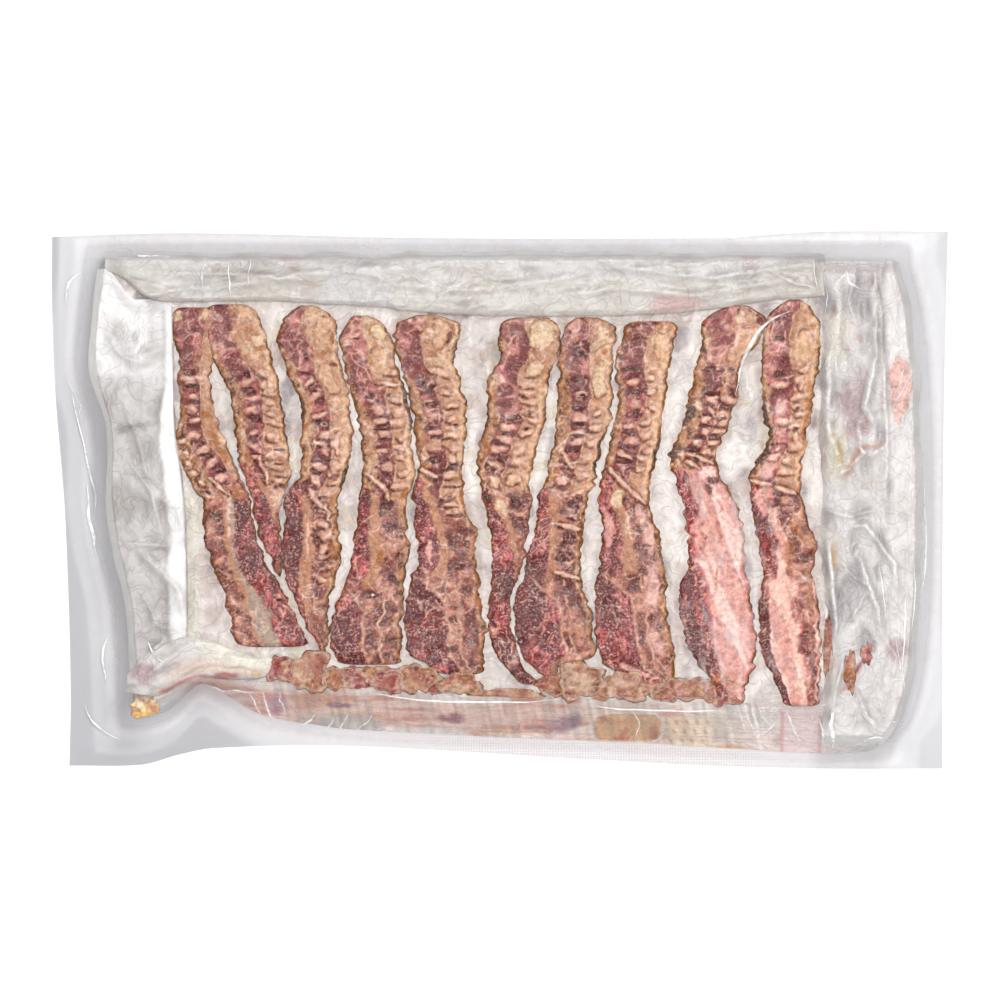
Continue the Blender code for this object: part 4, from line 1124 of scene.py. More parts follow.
ROLL_FOLDS = (
    (0.9, 1.6, ((-164, -84), (-154, -74), (-144, -67), (-134, -67))),
    (-0.5, 0.8, ((-162, -87), (-150, -76), (-138, -71))),
    (0.8, 1.8, ((-158, -88), (-147, -80), (-134, -74), (-118, -75), (-104, -77))),
    (-0.5, 0.8, ((-150, -84), (-138, -77), (-122, -77), (-108, -79))),
    (0.5, 1.2, ((-132, -70), (-120, -72), (-106, -74))),
)


def roll_place(u, v, w):
    """The front left corner of the sheet, folded over and drawn out to a tip across the slices' tails."""
    x = -171.0 + 76.0 * u
    back, front = through(ROLL_BACK, x), through(ROLL_FRONT, x)
    y = front + (back - front) * v
    relief = creased(x, y, 13.0, 23.0, 8.0)
    strands = creased(x + 3 * wobble(x, y, 12.0, 26.0, 2), 20 * v, 26.0, 25.0, 3.2)
    crown = np.sin(np.pi * np.clip(0.04 + 0.92 * v, 0, 1)) ** 0.28
    high = ease(u, 1.0, 0.6) * ease(u, -0.06, 0.08)
    tip = ease(x, -150, -166)
    crease = folds_over(x, y, ROLL_FOLDS)
    z = (1.9 + 0.8 * relief + 0.1 * strands + 0.8 * crease + 0.5 * tip * creased(x, y, 3.0, 27.0)) * crown
    z = SLICE_Z + 0.4 + z * (0.15 + 0.85 * high)
    colour = paper_tint(x, y, relief, 24.0)
    colour = paint(
        colour,
        (PAPER["cream"], 0.85 * ease(x, -145, -128) * ease(v, 0.1, 0.4)),
        (PAPER["show"], 0.8 * spot(x, y, (-163, -80), (7, 6))),
        (srgb(214, 188, 170), 0.7 * hump(v, 0.3, 0.22) * ease(x, -158, -146)),
        (MEAT["red"], 0.75 * spot(x, y, (-125, -80.5), (7, 2.2))),
        (srgb(170, 84, 76), 0.7 * hump(v, 0.05, 0.05) * ease(x, -160, -154) * ease(x, -128, -136)),
        (srgb(120, 108, 122), 0.6 * hump(v, 0.02, 0.05) * ease(x, -140, -134)),
        (srgb(186, 182, 172), 0.7 * ease(x, -108, -102)),
        (PAPER["yellow"], 0.8 * spot(x, y, (-112, -80.0), (3, 1.6))),
    )
    # The fold light is painted highlight and shade on the roll's folds.
    return x, y, z, {"tint": painted_fold_light(colour, z, ROLL_GRID, 24, 0.9) * 0.86, "crinkle": 0.08 + 0 * x}


# ---- the stack underneath ------------------------------------------------------------------------------

def drum_shape(columns, rows):
    """An upright closed drum: the angle round it and the height from 0 to 1 are placed later."""
    shape = bmesh.new()
    bmesh.ops.create_cone(shape, segments=columns, radius1=1.0, radius2=1.0, depth=1.0, cap_ends=True)
    upright = [e for e in shape.edges if abs(e.verts[0].co.z - e.verts[1].co.z) > 0.5]
    bmesh.ops.subdivide_edges(shape, edges=upright, cuts=rows - 1)
    return shape


FRONT_POINTS, RIGHT_POINTS, LEFT_POINTS = 370, 215, 200


def stack_outline(k, inset):
    """Points round the stack at one share of its slope, 0 at the foot and 1 at the top, and their run."""
    back = BACK_SHOULDER + 2.0 * (1 - k) - inset
    across = np.linspace(-1.0, 1.0, FRONT_POINTS)
    low = through(FRONT_FOOT, 170 * across) * (1 - k) + through(FRONT_SHOULDER, 170 * across) * k + inset
    left = through(LEFT_SIDE, [low[0], back]) - 3.0 * (1 - k) + inset
    right = through(RIGHT_SIDE, [low[-1], back]) + 3.0 * (1 - k) - inset
    front_x = left[0] + (right[0] - left[0]) * (across + 1) / 2
    front = through(FRONT_FOOT, front_x) * (1 - k) + through(FRONT_SHOULDER, front_x) * k + inset
    up, down = np.linspace(front[-1], back, RIGHT_POINTS), np.linspace(back, front[0], LEFT_POINTS)
    right_x = through(RIGHT_SIDE, up) + 3.0 * (1 - k) - inset
    back_x = right[1] + (left[1] - right[1]) * (across + 1) / 2
    left_x = through(LEFT_SIDE, down) - 3.0 * (1 - k) + inset
    x = np.concatenate([front_x, right_x, back_x, left_x])
    y = np.concatenate([front, up, np.full(FRONT_POINTS, back), down])
    box = np.ones(13) / 13
    x = np.convolve(np.concatenate([x[-6:], x, x[:6]]), box, "valid")
    y = np.convolve(np.concatenate([y[-6:], y, y[:6]]), box, "valid")
    length = np.concatenate([[0], np.cumsum(np.hypot(np.diff(x), np.diff(y)))])
    return x, y, length


# Patches along the front of the stack: (x, y, half width, half depth, colour, strength).
FRONT_PATCHES = (
    (-103, -93, 6, 7, (192, 148, 162), 0.9), (-86, -92, 11, 5, (212, 168, 144), 0.9),
    (-73, -94.3, 8, 1.5, (146, 84, 106), 0.95), (-72, -103, 28, 5.5, (196, 192, 186), 1.0),
    (-30, -107, 24, 3.4, (222, 218, 214), 0.95), (-44, -96, 16, 1.1, (196, 132, 130), 0.8),
    (-23, -100.3, 8, 3.0, (140, 78, 94), 0.95), (6, -98, 14, 6, (244, 216, 206), 0.8),
    (17, -104.6, 8, 1.3, (118, 70, 88), 0.95), (28, -103, 10, 5, (156, 116, 134), 0.9),
    (34, -101, 4, 5, (116, 90, 114), 0.7), (2, -107, 18, 2.0, (240, 214, 190), 0.8),
    (96, -103, 14, 7, (238, 230, 218), 0.9), (104, -114, 13, 2.2, (232, 186, 158), 0.95),
    (128, -110, 5, 3, (212, 182, 190), 0.8), (122, -101, 8, 6, (240, 236, 230), 0.9),
)


def front_tint(x, y):
    """The front of the stack under the drawn-down film: pale strands, and patches of meat pressed up."""
    colour = paint(
        srgb(240, 212, 200),
        (srgb(214, 164, 150), patches(0.46, 0.64, x, y, 26.0, 47.0, 3, 3.0)),
        (srgb(252, 240, 232), 0.9 * patches(0.5, 0.62, x, y, 34.0, 48.0, 3, 3.4)),
        (srgb(253, 244, 240), 0.7 * ease(x, 74, 96)),
    )
    for px, py, half_w, half_d, tint, strength in FRONT_PATCHES:
        colour = mix(colour, srgb(*tint), strength * spot(x, y, (px, py), (half_w, half_d)))
    pad = oval((x - 58.5) / 15.8, (y + 104.6) / 6.4, 4) + 0.1 * wobble(x, y, 6.0, 47.5, 2)
    tan = mix(srgb(214, 172, 132), srgb(184, 122, 94), patches(0.46, 0.66, x, y, 5.0, 47.7, 3))
    colour = paint(
        colour,
        (tan, ease(pad, 1.02, 0.94)),
        (srgb(252, 246, 240), 0.85 * hump(pad, 1.05, 0.05)),
    )
    row = np.floor((y + 113) / 4.4)
    dots = hump(((x + 0.3 * y + 2.4 * row) / 4.8) % 1.0, 0.5, 0.17) * hump(((y + 113) / 4.4) % 1.0, 0.5, 0.26)
    dotted = ease(x, 74, 78) * ease(x, 104, 90) * ease(y, -98, -101)
    colour = paint(
        colour,
        (srgb(240, 224, 200), 0.8 * dotted),
        (srgb(178, 122, 88), 0.85 * dots * dotted),
    )
    slab = ease(x, 128.5, 130) * ease(x, 148, 146.6)
    colour = paint(
        colour,
        (srgb(250, 232, 230), 0.95 * slab),
        (srgb(206, 150, 148), 0.7 * (hump(x, 129.6, 0.8) + hump(x, 147.0, 0.7))),
    )
    top = (y - through(FRONT_FOOT, x)) / (through(FRONT_SHOULDER, x) - through(FRONT_FOOT, x))
    # A white band along the top of the front is a painted highlight.
    shoulder_highlight = 0.8 * ease(top, 0.82, 0.9) * patches(0.3, 0.5, x, y, 9.0, 47.9, 2)
    colour = mix(colour, srgb(254, 246, 242), shoulder_highlight)
    # Lighter and darker streaks along the film's pleats are painted light and shade.
    pleat = cloud(x + 0.2 * y, y, 1.5, 48.2, 12.0) - 0.5
    grey = colour.mean(1)[:, None]
    colour = grey + (colour - grey) * 1.3
    return colour * (0.92 + 0.5 * pleat * ease(x, -116, -108) * ease(x, 126, 120))[:, None]


def stack_place(a, b, c):
    """The lower layers, about fifteen sheets of slices pressed together, seen at the sides of the stack."""
    turn = ((np.arctan2(b, a) + 2.36) / (2 * np.pi)) % 1.0
    height = c + 0.5
    x, y, run = np.empty_like(a), np.empty_like(a), np.empty_like(a)
    for level in np.unique(np.round(height, 4)):
        at = np.abs(height - level) < 1e-3
        ox, oy, length = stack_outline(float(np.sqrt(level) * 0.35 + level * 0.65), 1.4)
        place = turn[at] * (len(ox) - 1)
        x[at] = np.interp(place, np.arange(len(ox)), ox)
        y[at] = np.interp(place, np.arange(len(ox)), oy)
        run[at] = np.interp(place, np.arange(len(ox)), length)
    z = 0.5 + 38.8 * height
    sag = 1.6 * wobble(run, 0 * run, 60.0, 40.0, 2)
    layer = (z + sag) / 2.6
    n = np.floor(layer)
    inside = layer - n
    piece = cloud(run, n * 7.0, 24.0, 41.0, 5.0)
    bulge = np.sin(np.pi * inside) * ease(piece, 0.2, 0.55)
    push = np.hypot(x, y)
    out = 0.9 * (bulge - 0.5) + 0.5 * wobble(run, z, 9.0, 42.0, 2, 5.0)
    x, y = x + out * x / push, y + out * y / push
    flesh = paint(
        srgb(206, 160, 142),
        (srgb(176, 120, 114), ease(cloud(run, n * 7.0, 15.0, 43.0, 5.0), 0.5, 0.62)),
        (srgb(206, 156, 118), 0.8 * ease(cloud(run, n * 7.0, 19.0, 44.0, 5.0), 0.58, 0.7)),
        (srgb(148, 88, 88), 0.7 * patches(0.62, 0.74, run, z, 12.0, 45.0, 2, 6.0)),
    )
    paper = mix(srgb(214, 206, 202), srgb(178, 168, 166), patches(0.4, 0.7, run, z, 8.0, 46.0, 2, 3.0))
    colour = paint(
        paper,
        (flesh, ease(bulge, 0.25, 0.55)),
        (front_tint(x, y), 0.9),
    )
    wrap = paint(
        PAPER["white"],
        (PAPER["grey"], patches(0.4, 0.65, x + y, z, 14.0, 46.5, 3, 9.0)),
        (PAPER["show"], 0.4 * patches(0.62, 0.78, x + y, z, 20.0, 48.5, 2, 10.0)),
        (PAPER["bright"], 0.5 + 0 * x),
    )
    front = ease(y, -76.0, -84.0) * ease(x, -150, -136) * ease(x, 160, 148)
    colour = mix(wrap, colour * (0.94 + 0.06 * ease(x, 60, 100))[:, None], front)
    return x, y, z, {"tint": np.clip(colour, 0, 1), "crinkle": 0.4 + 0 * x}


END_LOOKS = {"fat": srgb(206, 160, 130), "toast": srgb(196, 146, 108), "lean": srgb(164, 88, 90),
             "brown": srgb(118, 64, 42), "tip": srgb(226, 210, 178), "blush": srgb(222, 176, 166)}
END_RIMS = {"tip": srgb(206, 174, 112), "blush": srgb(226, 214, 208)}


def end_place(spot_x, spot_y, half_w, half_d, height, base, look, seed, fold_top):
    """A ragged, lobed end of a lower slice; those higher than the slices' bed lie on the right fold."""
    on_fold = base > SLICE_Z

    def place(u, v, w):
        a, b = 2 * (0.4 * crowded(u) + 0.6 * u) - 1, 2 * (0.4 * crowded(v) + 0.6 * v) - 1
        out = np.maximum(np.abs(a), np.abs(b))
        turn = np.arctan2(b, a)
        lobes = 1 + 0.13 * np.sin(3 * turn + seed) + 0.08 * np.sin(7 * turn + 2 * seed)
        lobes = lobes + 0.5 * wobble(6 * np.cos(turn), 6 * np.sin(turn), 2.2, seed, 3)
        reach = 1 + (lobes - 1) * out
        x = spot_x + half_w * a * np.sqrt(1 - 0.42 * b * b) * reach
        y = spot_y + half_d * b * np.sqrt(1 - 0.42 * a * a) * reach
        lumps = clouds(x, y, 4.6, seed + 6, 3)
        rim = ease(out, 0.62, 0.86)
        z = height * (0.5 + 0.7 * (lumps - 0.4) + 0.4 * rim * patches(0.4, 0.6, x, y, 5.0, seed + 8, 2))
        z = z * np.clip((1 - out) / 0.1, 0, 1) ** 0.5
        colour = paint(
            END_LOOKS[look],
            (srgb(232, 204, 182), 0.7 * ease(lumps, 0.5, 0.68)),
            (srgb(178, 112, 100), 0.8 * patches(0.5, 0.66, x, y, 6.0, seed + 7, 3)),
            (srgb(160, 96, 78), 0.7 * ease(lumps, 0.42, 0.26)),
            (MEAT["milk"], 0.4 * veins(x, y, 5.0, seed + 12, 8.0)),
        )
        if look == "lean":
            colour = paint(
                colour,
                (MEAT["milk"], 0.7 * veins(x, y, 5.0, seed + 12, 5.0)),
                (MEAT["red"], 0.5 * patches(0.5, 0.35, x, y, 4.0, seed + 13, 2)),
            )
        outline = ease(out, 0.8, 0.97) * patches(0.3, 0.5, x, y, 3.0, seed + 15, 2)
        colour = mix(colour, END_RIMS.get(look, srgb(140, 82, 48)), 0.85 * outline)
        if look == "tip":
            colour = paint(
                colour,
                (srgb(184, 168, 162), 0.8 * ease(b, 0.0, 0.7)),
                (srgb(206, 168, 100), 0.8 * ease(b, -0.3, -0.8)),
            )
        proud = proud_of(z, END_GRID, 10)
        # Painted shade in the low places and painted highlight on the high ones.
        colour = paint(
            colour,
            (srgb(104, 46, 36), 0.85 * ease(proud, -0.04, -0.3)),
            (srgb(240, 214, 196), 0.5 * ease(proud, 0.06, 0.3)),
        )
        colour = colour.mean(1)[:, None] * -0.35 + colour * 1.35
        if look == "blush":
            colour = mix(colour, srgb(250, 214, 204), 0.6)
        colour = colour * {"tip": 0.84, "blush": 0.74}.get(look, 0.56)
        bed = read_map(fold_top, x, y) if on_fold else base + 0 * x
        z = np.where(w < -0.5, bed - 1.2 * on_fold, bed + 0.1 + np.maximum(z, 0))
        return x, y, z, {"tint": np.clip(colour, 0, 1), "grain": 0.3 + 0 * x}

    return place


# ---- the clear film ------------------------------------------------------------------------------------

def bag_point(u, v):
    """A point of the bag's plan, between its four cut edges."""
    along_x, along_y = (2 * u - 1) * HALF_WIDTH, (2 * v - 1) * HALF_DEPTH
    left = -HALF_WIDTH + through(LEFT_EDGE, along_y)
    right = HALF_WIDTH - through(RIGHT_EDGE, along_y)
    front = -HALF_DEPTH + through(FRONT_EDGE, along_x)
    back = HALF_DEPTH - through(BACK_EDGE, along_x)
    return left + (right - left) * u, front + (back - front) * v


def stack_share(x, y, out):
    """How far up the stack's side a point is, with the sides moved outwards by a little."""
    front_foot, front_shoulder = through(FRONT_FOOT, x) - out, through(FRONT_SHOULDER, x) - out
    sides = np.stack([
        (x - through(LEFT_SIDE, y) + SIDE_SPREAD + out) / SIDE_SPREAD,
        (through(RIGHT_SIDE, y) + SIDE_SPREAD + out - x) / SIDE_SPREAD,
        (BACK_FOOT + out - y) / (BACK_FOOT - BACK_SHOULDER),
        (y - front_foot) / (front_shoulder - front_foot),
    ])
    soft = -np.log(np.exp(-8.0 * np.clip(sides, -1, 3)).sum(0)) / 8.0
    return np.clip(soft + 0.05, 0, 1)


# Height maps: the size of a cell, half the width and depth that they cover, and their numbers of cells.
CELL = 0.8
MAP_X, MAP_Y = 210, 128
NX, NY = int(2 * MAP_X / CELL), int(2 * MAP_Y / CELL)


def height_map(objects):
    """The highest point of the given pieces over each cell of the table, in mm."""
    top = np.zeros((NX, NY))
    for obj in objects:
        co = np.empty(len(obj.data.vertices) * 3)
        obj.data.vertices.foreach_get("co", co)
        co = co.reshape(-1, 3) / MM
        i = np.clip(((co[:, 0] + MAP_X) / CELL).astype(int), 0, NX - 1)
        j = np.clip(((co[:, 1] + MAP_Y) / CELL).astype(int), 0, NY - 1)
        np.maximum.at(top, (i, j), co[:, 2])
    return top


def spread(grid, steps):
    """Each cell takes the highest of itself and its neighbours."""
    for _ in range(steps):
        p = np.pad(grid, 1, mode="edge")
        grid = np.maximum.reduce([p[1:-1, 1:-1], p[:-2, 1:-1], p[2:, 1:-1], p[1:-1, :-2], p[1:-1, 2:]])
    return grid


def drape(floor, steps):
    """A skin pulled tight over the floor: smooth, and never under it."""
    skin = relax(floor, 2)
    for _ in range(steps):
        skin = np.maximum(relax(skin, 1), floor)
    return relax(skin, 1)


def read_map(grid, x, y):
    """Values of a map between its cells."""
    a = np.clip((x + MAP_X) / CELL - 0.5, 0, NX - 1.001)
    b = np.clip((y + MAP_Y) / CELL - 0.5, 0, NY - 1.001)
    i, j = a.astype(int), b.astype(int)
    fa, fb = a - i, b - j
    return ((grid[i, j] * (1 - fa) + grid[i + 1, j] * fa) * (1 - fb)
            + (grid[i, j + 1] * (1 - fa) + grid[i + 1, j + 1] * fa) * fb)


def film_level(contents):
    """The height of the film's upper skin at any point, drawn down over the given pieces."""
    cells_x = (np.arange(NX) + 0.5) * CELL - MAP_X
    cells_y = (np.arange(NY) + 0.5) * CELL - MAP_Y
    gx, gy = np.meshgrid(cells_x, cells_y, indexing="ij")
    top = spread(height_map(contents), 1)
    margin = 1.3 + 1.0 * clouds(gx, gy, 60.0, 51.0, 2)
    share = stack_share(gx.ravel(), gy.ravel(), 1.2).reshape(gx.shape)
    wall = margin + (40.3 - margin) * (share ** 0.8)
    skin = drape(np.maximum(wall, np.where(top > 4, top + 0.1, 0)), 3)

    def level(x, y):
        s = stack_share(x, y, 1.2)
        slope = ease(s, 0.02, 0.2) * ease(s, 0.99, 0.8)
        pleats = wobble(x, y, 4.0, 52.0, 2, 60.0)
        side_pleats = wobble(x, y, 60.0, 53.0, 2, 4.0)
        along_x = (y < -77.0) | (y > 105)
        return read_map(skin, x, y) + slope * 1.3 * np.where(along_x, pleats, side_pleats), s

    return level


def film_place(level):
    """The place function of the film, from its cut edges to the top of the pack."""

    def place(u, v, w):
        uu, vv = 0.5 * crowded(u) + 0.5 * u, 0.5 * crowded(v) + 0.5 * v
        x, y = bag_point(uu, vv)
        z, s = level(x, y)
        from_side = np.minimum(uu, 1 - uu) * 2 * HALF_WIDTH
        from_edge = np.minimum(from_side, np.minimum(vv, 1 - vv) * 2 * HALF_DEPTH)
        hem = ease(from_edge, -6.0, 16.0)
        outside = ease(s, 0.06, 0.0)
        z = z + outside * 0.5 * hem * wobble(x, y, 16.0, 54.0, 2)
        z = z * (0.35 + 0.65 * np.maximum(hem, ease(s, 0.0, 0.1))) + 0.25
        beside_wall = ease(stack_share(x, y, 9.0), 0.0, 0.5)
        haze = outside * (0.01 + 0.3 * beside_wall * clouds(x, y, 9.0, 57.0, 3, 30.0))
        streaks = patches(0.52, 0.74, x + 0.2 * y, y, 2.6, 55.0, 3, 12.0)
        haze = haze + 0.3 * streaks * hump(x, 104, 22) * ease(y, 16, 4) * ease(y, -90, -80)
        haze = haze + 0.1 * ease(s, 0.02, 0.2) * ease(s, 0.999, 0.8) * clouds(x, y, 6.0, 56.0, 3, 30.0)
        foot = through(FRONT_FOOT, x)
        emboss = ease(y, foot + 1.0, foot - 1.0) * ease(x, -34, -26) * ease(x, 122, 116)
        # The rim tint greys the film's cut edge, and over the margins lays painted shade: heavier towards the
        # left, weaker near the stack.
        painted_side_shade = 0.66 + 0.34 * ease(x - 0.4 * y, 60.0, -120.0)
        far = 0.5 * ease(stack_share(x, y, 9.0), 0.6, 0.0) + 0.45 * ease(stack_share(x, y, 16.0), 0.5, 0.0)
        rim = np.maximum(0.6 * ease(from_edge, 1.3, 0.4), outside * painted_side_shade * (0.05 + far))
        return x, y, z, {"haze": np.clip(haze, 0, 1), "emboss": np.clip(emboss, 0, 1), "rim": rim}

    return place


# Pale creases pinched in the film: (half width, half height, points).
CREASES = (
    (0.5, 0.5, ((-135.4, 113), (-136.2, 103), (-137, 96))),
    (0.5, 0.5, ((-124.9, 110), (-124, 101), (-123.6, 92))),
    (0.35, 0.4, ((-114, 112), (-115, 104), (-115.6, 97))),
    (0.6, 0.3, ((-200, 91), (-198.4, 99), (-191.5, 106))),
    (0.4, 0.3, ((-199, 55), (-193.5, 44), (-195, 36))),
    (0.5, 0.3, ((-197.8, 53), (-192, 28), (-186.4, 4), (-186, -8))),
    (0.8, 0.3, ((-190, 8), (-188.5, -10), (-184.6, -28))),
    (0.5, 0.3, ((-191, -94), (-186, -103), (-174, -111))),
    (0.4, 0.4, ((-115, -88.6), (-112, -94), (-108.6, -102))),
    (0.5, 0.5, ((-109.0, -88), (-107, -95), (-104, -104.6))),
    (0.35, 0.4, ((-101.4, -87.6), (-100.6, -93), (-98.6, -99))),
    (0.4, 0.4, ((-84, -96.6), (-88, -102), (-93.5, -105.4))),
    (0.4, 0.4, ((-76, -99), (-78, -103.6), (-81, -107.6))),
    (0.4, 0.4, ((-69.6, -97.6), (-71.6, -102.4), (-75, -107))),
    (0.3, 0.3, ((-58, -98), (-62, -103), (-68, -107))),
    (0.4, 0.4, ((-138, -84), (-126, -87.4), (-112, -88))),
    (0.4, 0.4, ((112, -92.6), (114, -100), (117.6, -109))),
    (0.4, 0.4, ((114.6, -92.6), (117, -100), (120, -108))),
    (0.3, 0.4, ((109, -93), (111, -101), (113.6, -107))), (0.3, 0.4, ((118, -94), (120, -99), (124, -104))),
    (0.4, 0.4, ((117, -110), (122, -106), (127, -101))),
    (0.5, 0.4, ((131, -95.4), (134, -104), (138.6, -111))),
    (1.3, 0.8, ((151.6, -96), (152.6, -105), (153.2, -114))),
    (0.5, 0.5, ((146, -100), (148, -107), (149, -114))), (0.5, 0.5, ((174, -28), (175.6, -42), (177, -56))),
    (0.5, 0.4, ((186.4, -40), (186, -60), (184, -83))), (0.4, 0.4, ((181, -62), (183, -74), (185.6, -88))),
    (0.4, 0.4, ((189.4, -24), (190.4, -44), (189, -60))), (0.4, 0.3, ((194, 10), (195.4, -20), (193, -50))),
    (0.5, 0.5, ((-161.6, -64), (-159, -70), (-153.6, -76))),
    (0.7, 0.5, ((158, 107), (160.6, 100), (166, 96.6))), (0.3, 0.3, ((179, 40), (184, 50), (191, 62))),
    (0.3, 0.3, ((180, 47), (184, 55), (186, 64))), (0.25, 0.3, ((180, 36), (184, 45), (190, 57))),
    (0.8, 0.5, ((133, 87), (120, 79), (112.4, 66), (107, 48))),
    (0.3, 0.3, ((148, 104), (150, 92), (149, 84))), (0.3, 0.3, ((143, 112), (145, 100), (146, 93))),
    (0.6, 0.4, ((-180, -60), (-183, -72), (-181, -86))),
    (0.4, 0.3, ((160, -114), (172, -109), (184, -112))),
    (0.4, 0.3, ((-176, 118), (-164, 112), (-150, 112))),
    (0.4, 0.3, ((-60, -88.4), (-20, -92.6), (30, -92))),
    (0.4, 0.3, ((40, -94.6), (70, -96.4), (104, -96.4))),
    (0.3, 0.3, ((170, -92), (178, -100), (189, -104))), (0.3, 0.3, ((166, -98), (172, -104), (178, -112))),
    (0.3, 0.3, ((60, -95), (64, -103), (62, -111))),
)


def creases_shape():
    """One thin upright rod for each crease, four apart."""
    shape = bmesh.new()
    for k in range(len(CREASES)):
        rod = bmesh.ops.create_cone(shape, segments=6, radius1=1.0, radius2=1.0, depth=1.0, cap_ends=True)
        for vert in rod["verts"]:
            vert.co.x += 4.0 * k
    upright = [e for e in shape.edges if abs(e.verts[0].co.z - e.verts[1].co.z) > 0.5]
    bmesh.ops.subdivide_edges(shape, edges=upright, cuts=23)
    return shape


def creases_place(level):
    """Each rod laid along its crease on the film, tapering to both ends."""

    def place(a, b, c):
        number = np.round(a / 4.0).astype(int)
        side, along = a - 4.0 * number, c + 0.5
        x, y, z = np.empty_like(a), np.empty_like(a), np.empty_like(a)
        for k, (width, height, points) in enumerate(CREASES):
            mine = number == k
            t = along[mine]
            stops = np.linspace(0, 1, len(points))
            path_x, path_y = ([(s, point[axis]) for s, point in zip(stops, points)] for axis in (0, 1))
            cx = through(path_x, t) + 2.0 * wobble(40 * t, 0 * t, 9.0, k + 0.3, 3)
            cy = through(path_y, t) + 2.0 * wobble(40 * t, 0 * t, 9.0, k + 0.7, 3)
            run_x, run_y = points[-1][0] - points[0][0], points[-1][1] - points[0][1]
            length = math.hypot(run_x, run_y)
            taper = np.clip(4 * t * (1 - t), 0.02, 1) * (0.5 + clouds(40 * t, 0 * t, 6.0, k + 0.9, 2))
            x[mine] = cx - run_y / length * side[mine] * width * taper
            y[mine] = cy + run_x / length * side[mine] * width * taper
            z[mine] = level(cx, cy)[0] + 0.3 + b[mine] * height * taper
        return x, y, z, {"haze": 0.75 + 0 * a}

    return place


# ---- materials -----------------------------------------------------------------------------------------

class Nodes:
    """A new material, and short ways to add its nodes; a value is a plain one or another node's output."""

    def __init__(self, name):
        self.material = bpy.data.materials.new(name)
        self.material.use_nodes = True
        self.tree = self.material.node_tree
        self.tree.nodes.clear()

    def put(self, socket, value):
        """Gives a node's input its plain value, or links it to an output."""
        if isinstance(value, bpy.types.NodeSocket):
            self.tree.links.new(value, socket)
        elif socket.type == "RGBA":
            socket.default_value = (*value, 1.0)
        else:
            socket.default_value = value

    def add(self, kind, *values, out=0, **settings):
        """Adds a node and gives one of its outputs; values fill its inputs in turn, and in_Name by name."""
        node = self.tree.nodes.new("ShaderNode" + kind)
        for key, value in settings.items():
            if key.startswith("in_"):
                self.put(node.inputs[key[3:].replace("_", " ")], value)
            else:
                setattr(node, key, value)
        for socket, value in zip(node.inputs, values):
            self.put(socket, value)
        return node.outputs[out]

    def read(self, name, out="Fac"):
        """The values that a mesh holds for its points."""
        return self.add("Attribute", attribute_name=name, out=out)

    def noise(self, place, scale, detail, rough=0.5, twist=0.0):
        """Smooth random values from 0 to 1."""
        node = {"in_Vector": place, "in_Scale": scale, "in_Detail": detail, "in_Roughness": rough}
        return self.add("TexNoise", in_Distortion=twist, **node)

    def blend(self, share, first, second):
        """The first colour going to the second."""
        node = self.tree.nodes.new("ShaderNodeMix")
        node.data_type = "RGBA"
        for index, value in ((0, share), (6, first), (7, second)):
            self.put(node.inputs[index], value)
        return node.outputs[2]

    def remap(self, value, start, end, low, high):
        """A number taken from one range to another."""
        return self.add("MapRange", value, start, end, low, high)

    def times(self, first, second):
        """One number times another."""
        return self.add("Math", first, second, operation="MULTIPLY")

    def bump(self, height, strength, distance):
        """The surface's direction, bent by a height."""
        return self.add("Bump", in_Height=height, in_Strength=strength, in_Distance=distance)

    def finish(self, shader):
        """The material, with the shader as its surface."""
        output = self.tree.nodes.new("ShaderNodeOutputMaterial")
        self.put(output.inputs["Surface"], shader)
        return self.material


def meat_material(name, size):
    """Cooked bacon: its own tint, granular pink and dark grains in the lean, toasted specks in the fat."""
    nodes = Nodes(name)
    place = nodes.add("TexCoord", out="Object")
    grain = nodes.read("grain")
    grains = nodes.noise(place, 0.8 / size, 4.0, 0.7, 0.6)
    crumbs = nodes.noise(place, 0.9 / size, 3.0, 0.6)
    mottle = nodes.noise(place, 0.42 / size, 3.0, 0.6)
    drift = nodes.noise(place, 0.16 / size, 2.0, 0.5)
    light = nodes.remap(mottle, 0.32, 0.68, 0.66, 1.36)
    shaded = nodes.add("VectorMath", operation="SCALE", in_Vector=nodes.read("tint", "Color"), in_Scale=light)
    dark = nodes.add("VectorMath", shaded, (0.5, 0.34, 0.34), operation="MULTIPLY")
    colour = nodes.blend(nodes.times(nodes.remap(grains, 0.48, 0.34, 0.0, 0.5), grain), shaded, dark)
    frosty = nodes.times(nodes.remap(drift, 0.42, 0.58, 0.25, 1.0), grain)
    frost = nodes.times(nodes.remap(crumbs, 0.52, 0.66, 0.0, 0.75), frosty)
    colour = nodes.blend(frost, colour, srgb(224, 168, 162))
    colour = nodes.blend(nodes.remap(grains, 0.55, 0.68, 0.0, 0.4), colour, srgb(240, 212, 190))
    colour = nodes.blend(nodes.remap(crumbs, 0.44, 0.3, 0.0, 0.4), colour, srgb(128, 68, 46))
    height = nodes.add("Math", grains, nodes.times(crumbs, 0.5), operation="ADD")
    skin = nodes.add("BsdfPrincipled", in_Base_Color=colour, in_Roughness=0.45, in_Specular_IOR_Level=0.2,
                     in_Normal=nodes.bump(height, 0.6, 0.0008))
    return nodes.finish(skin)


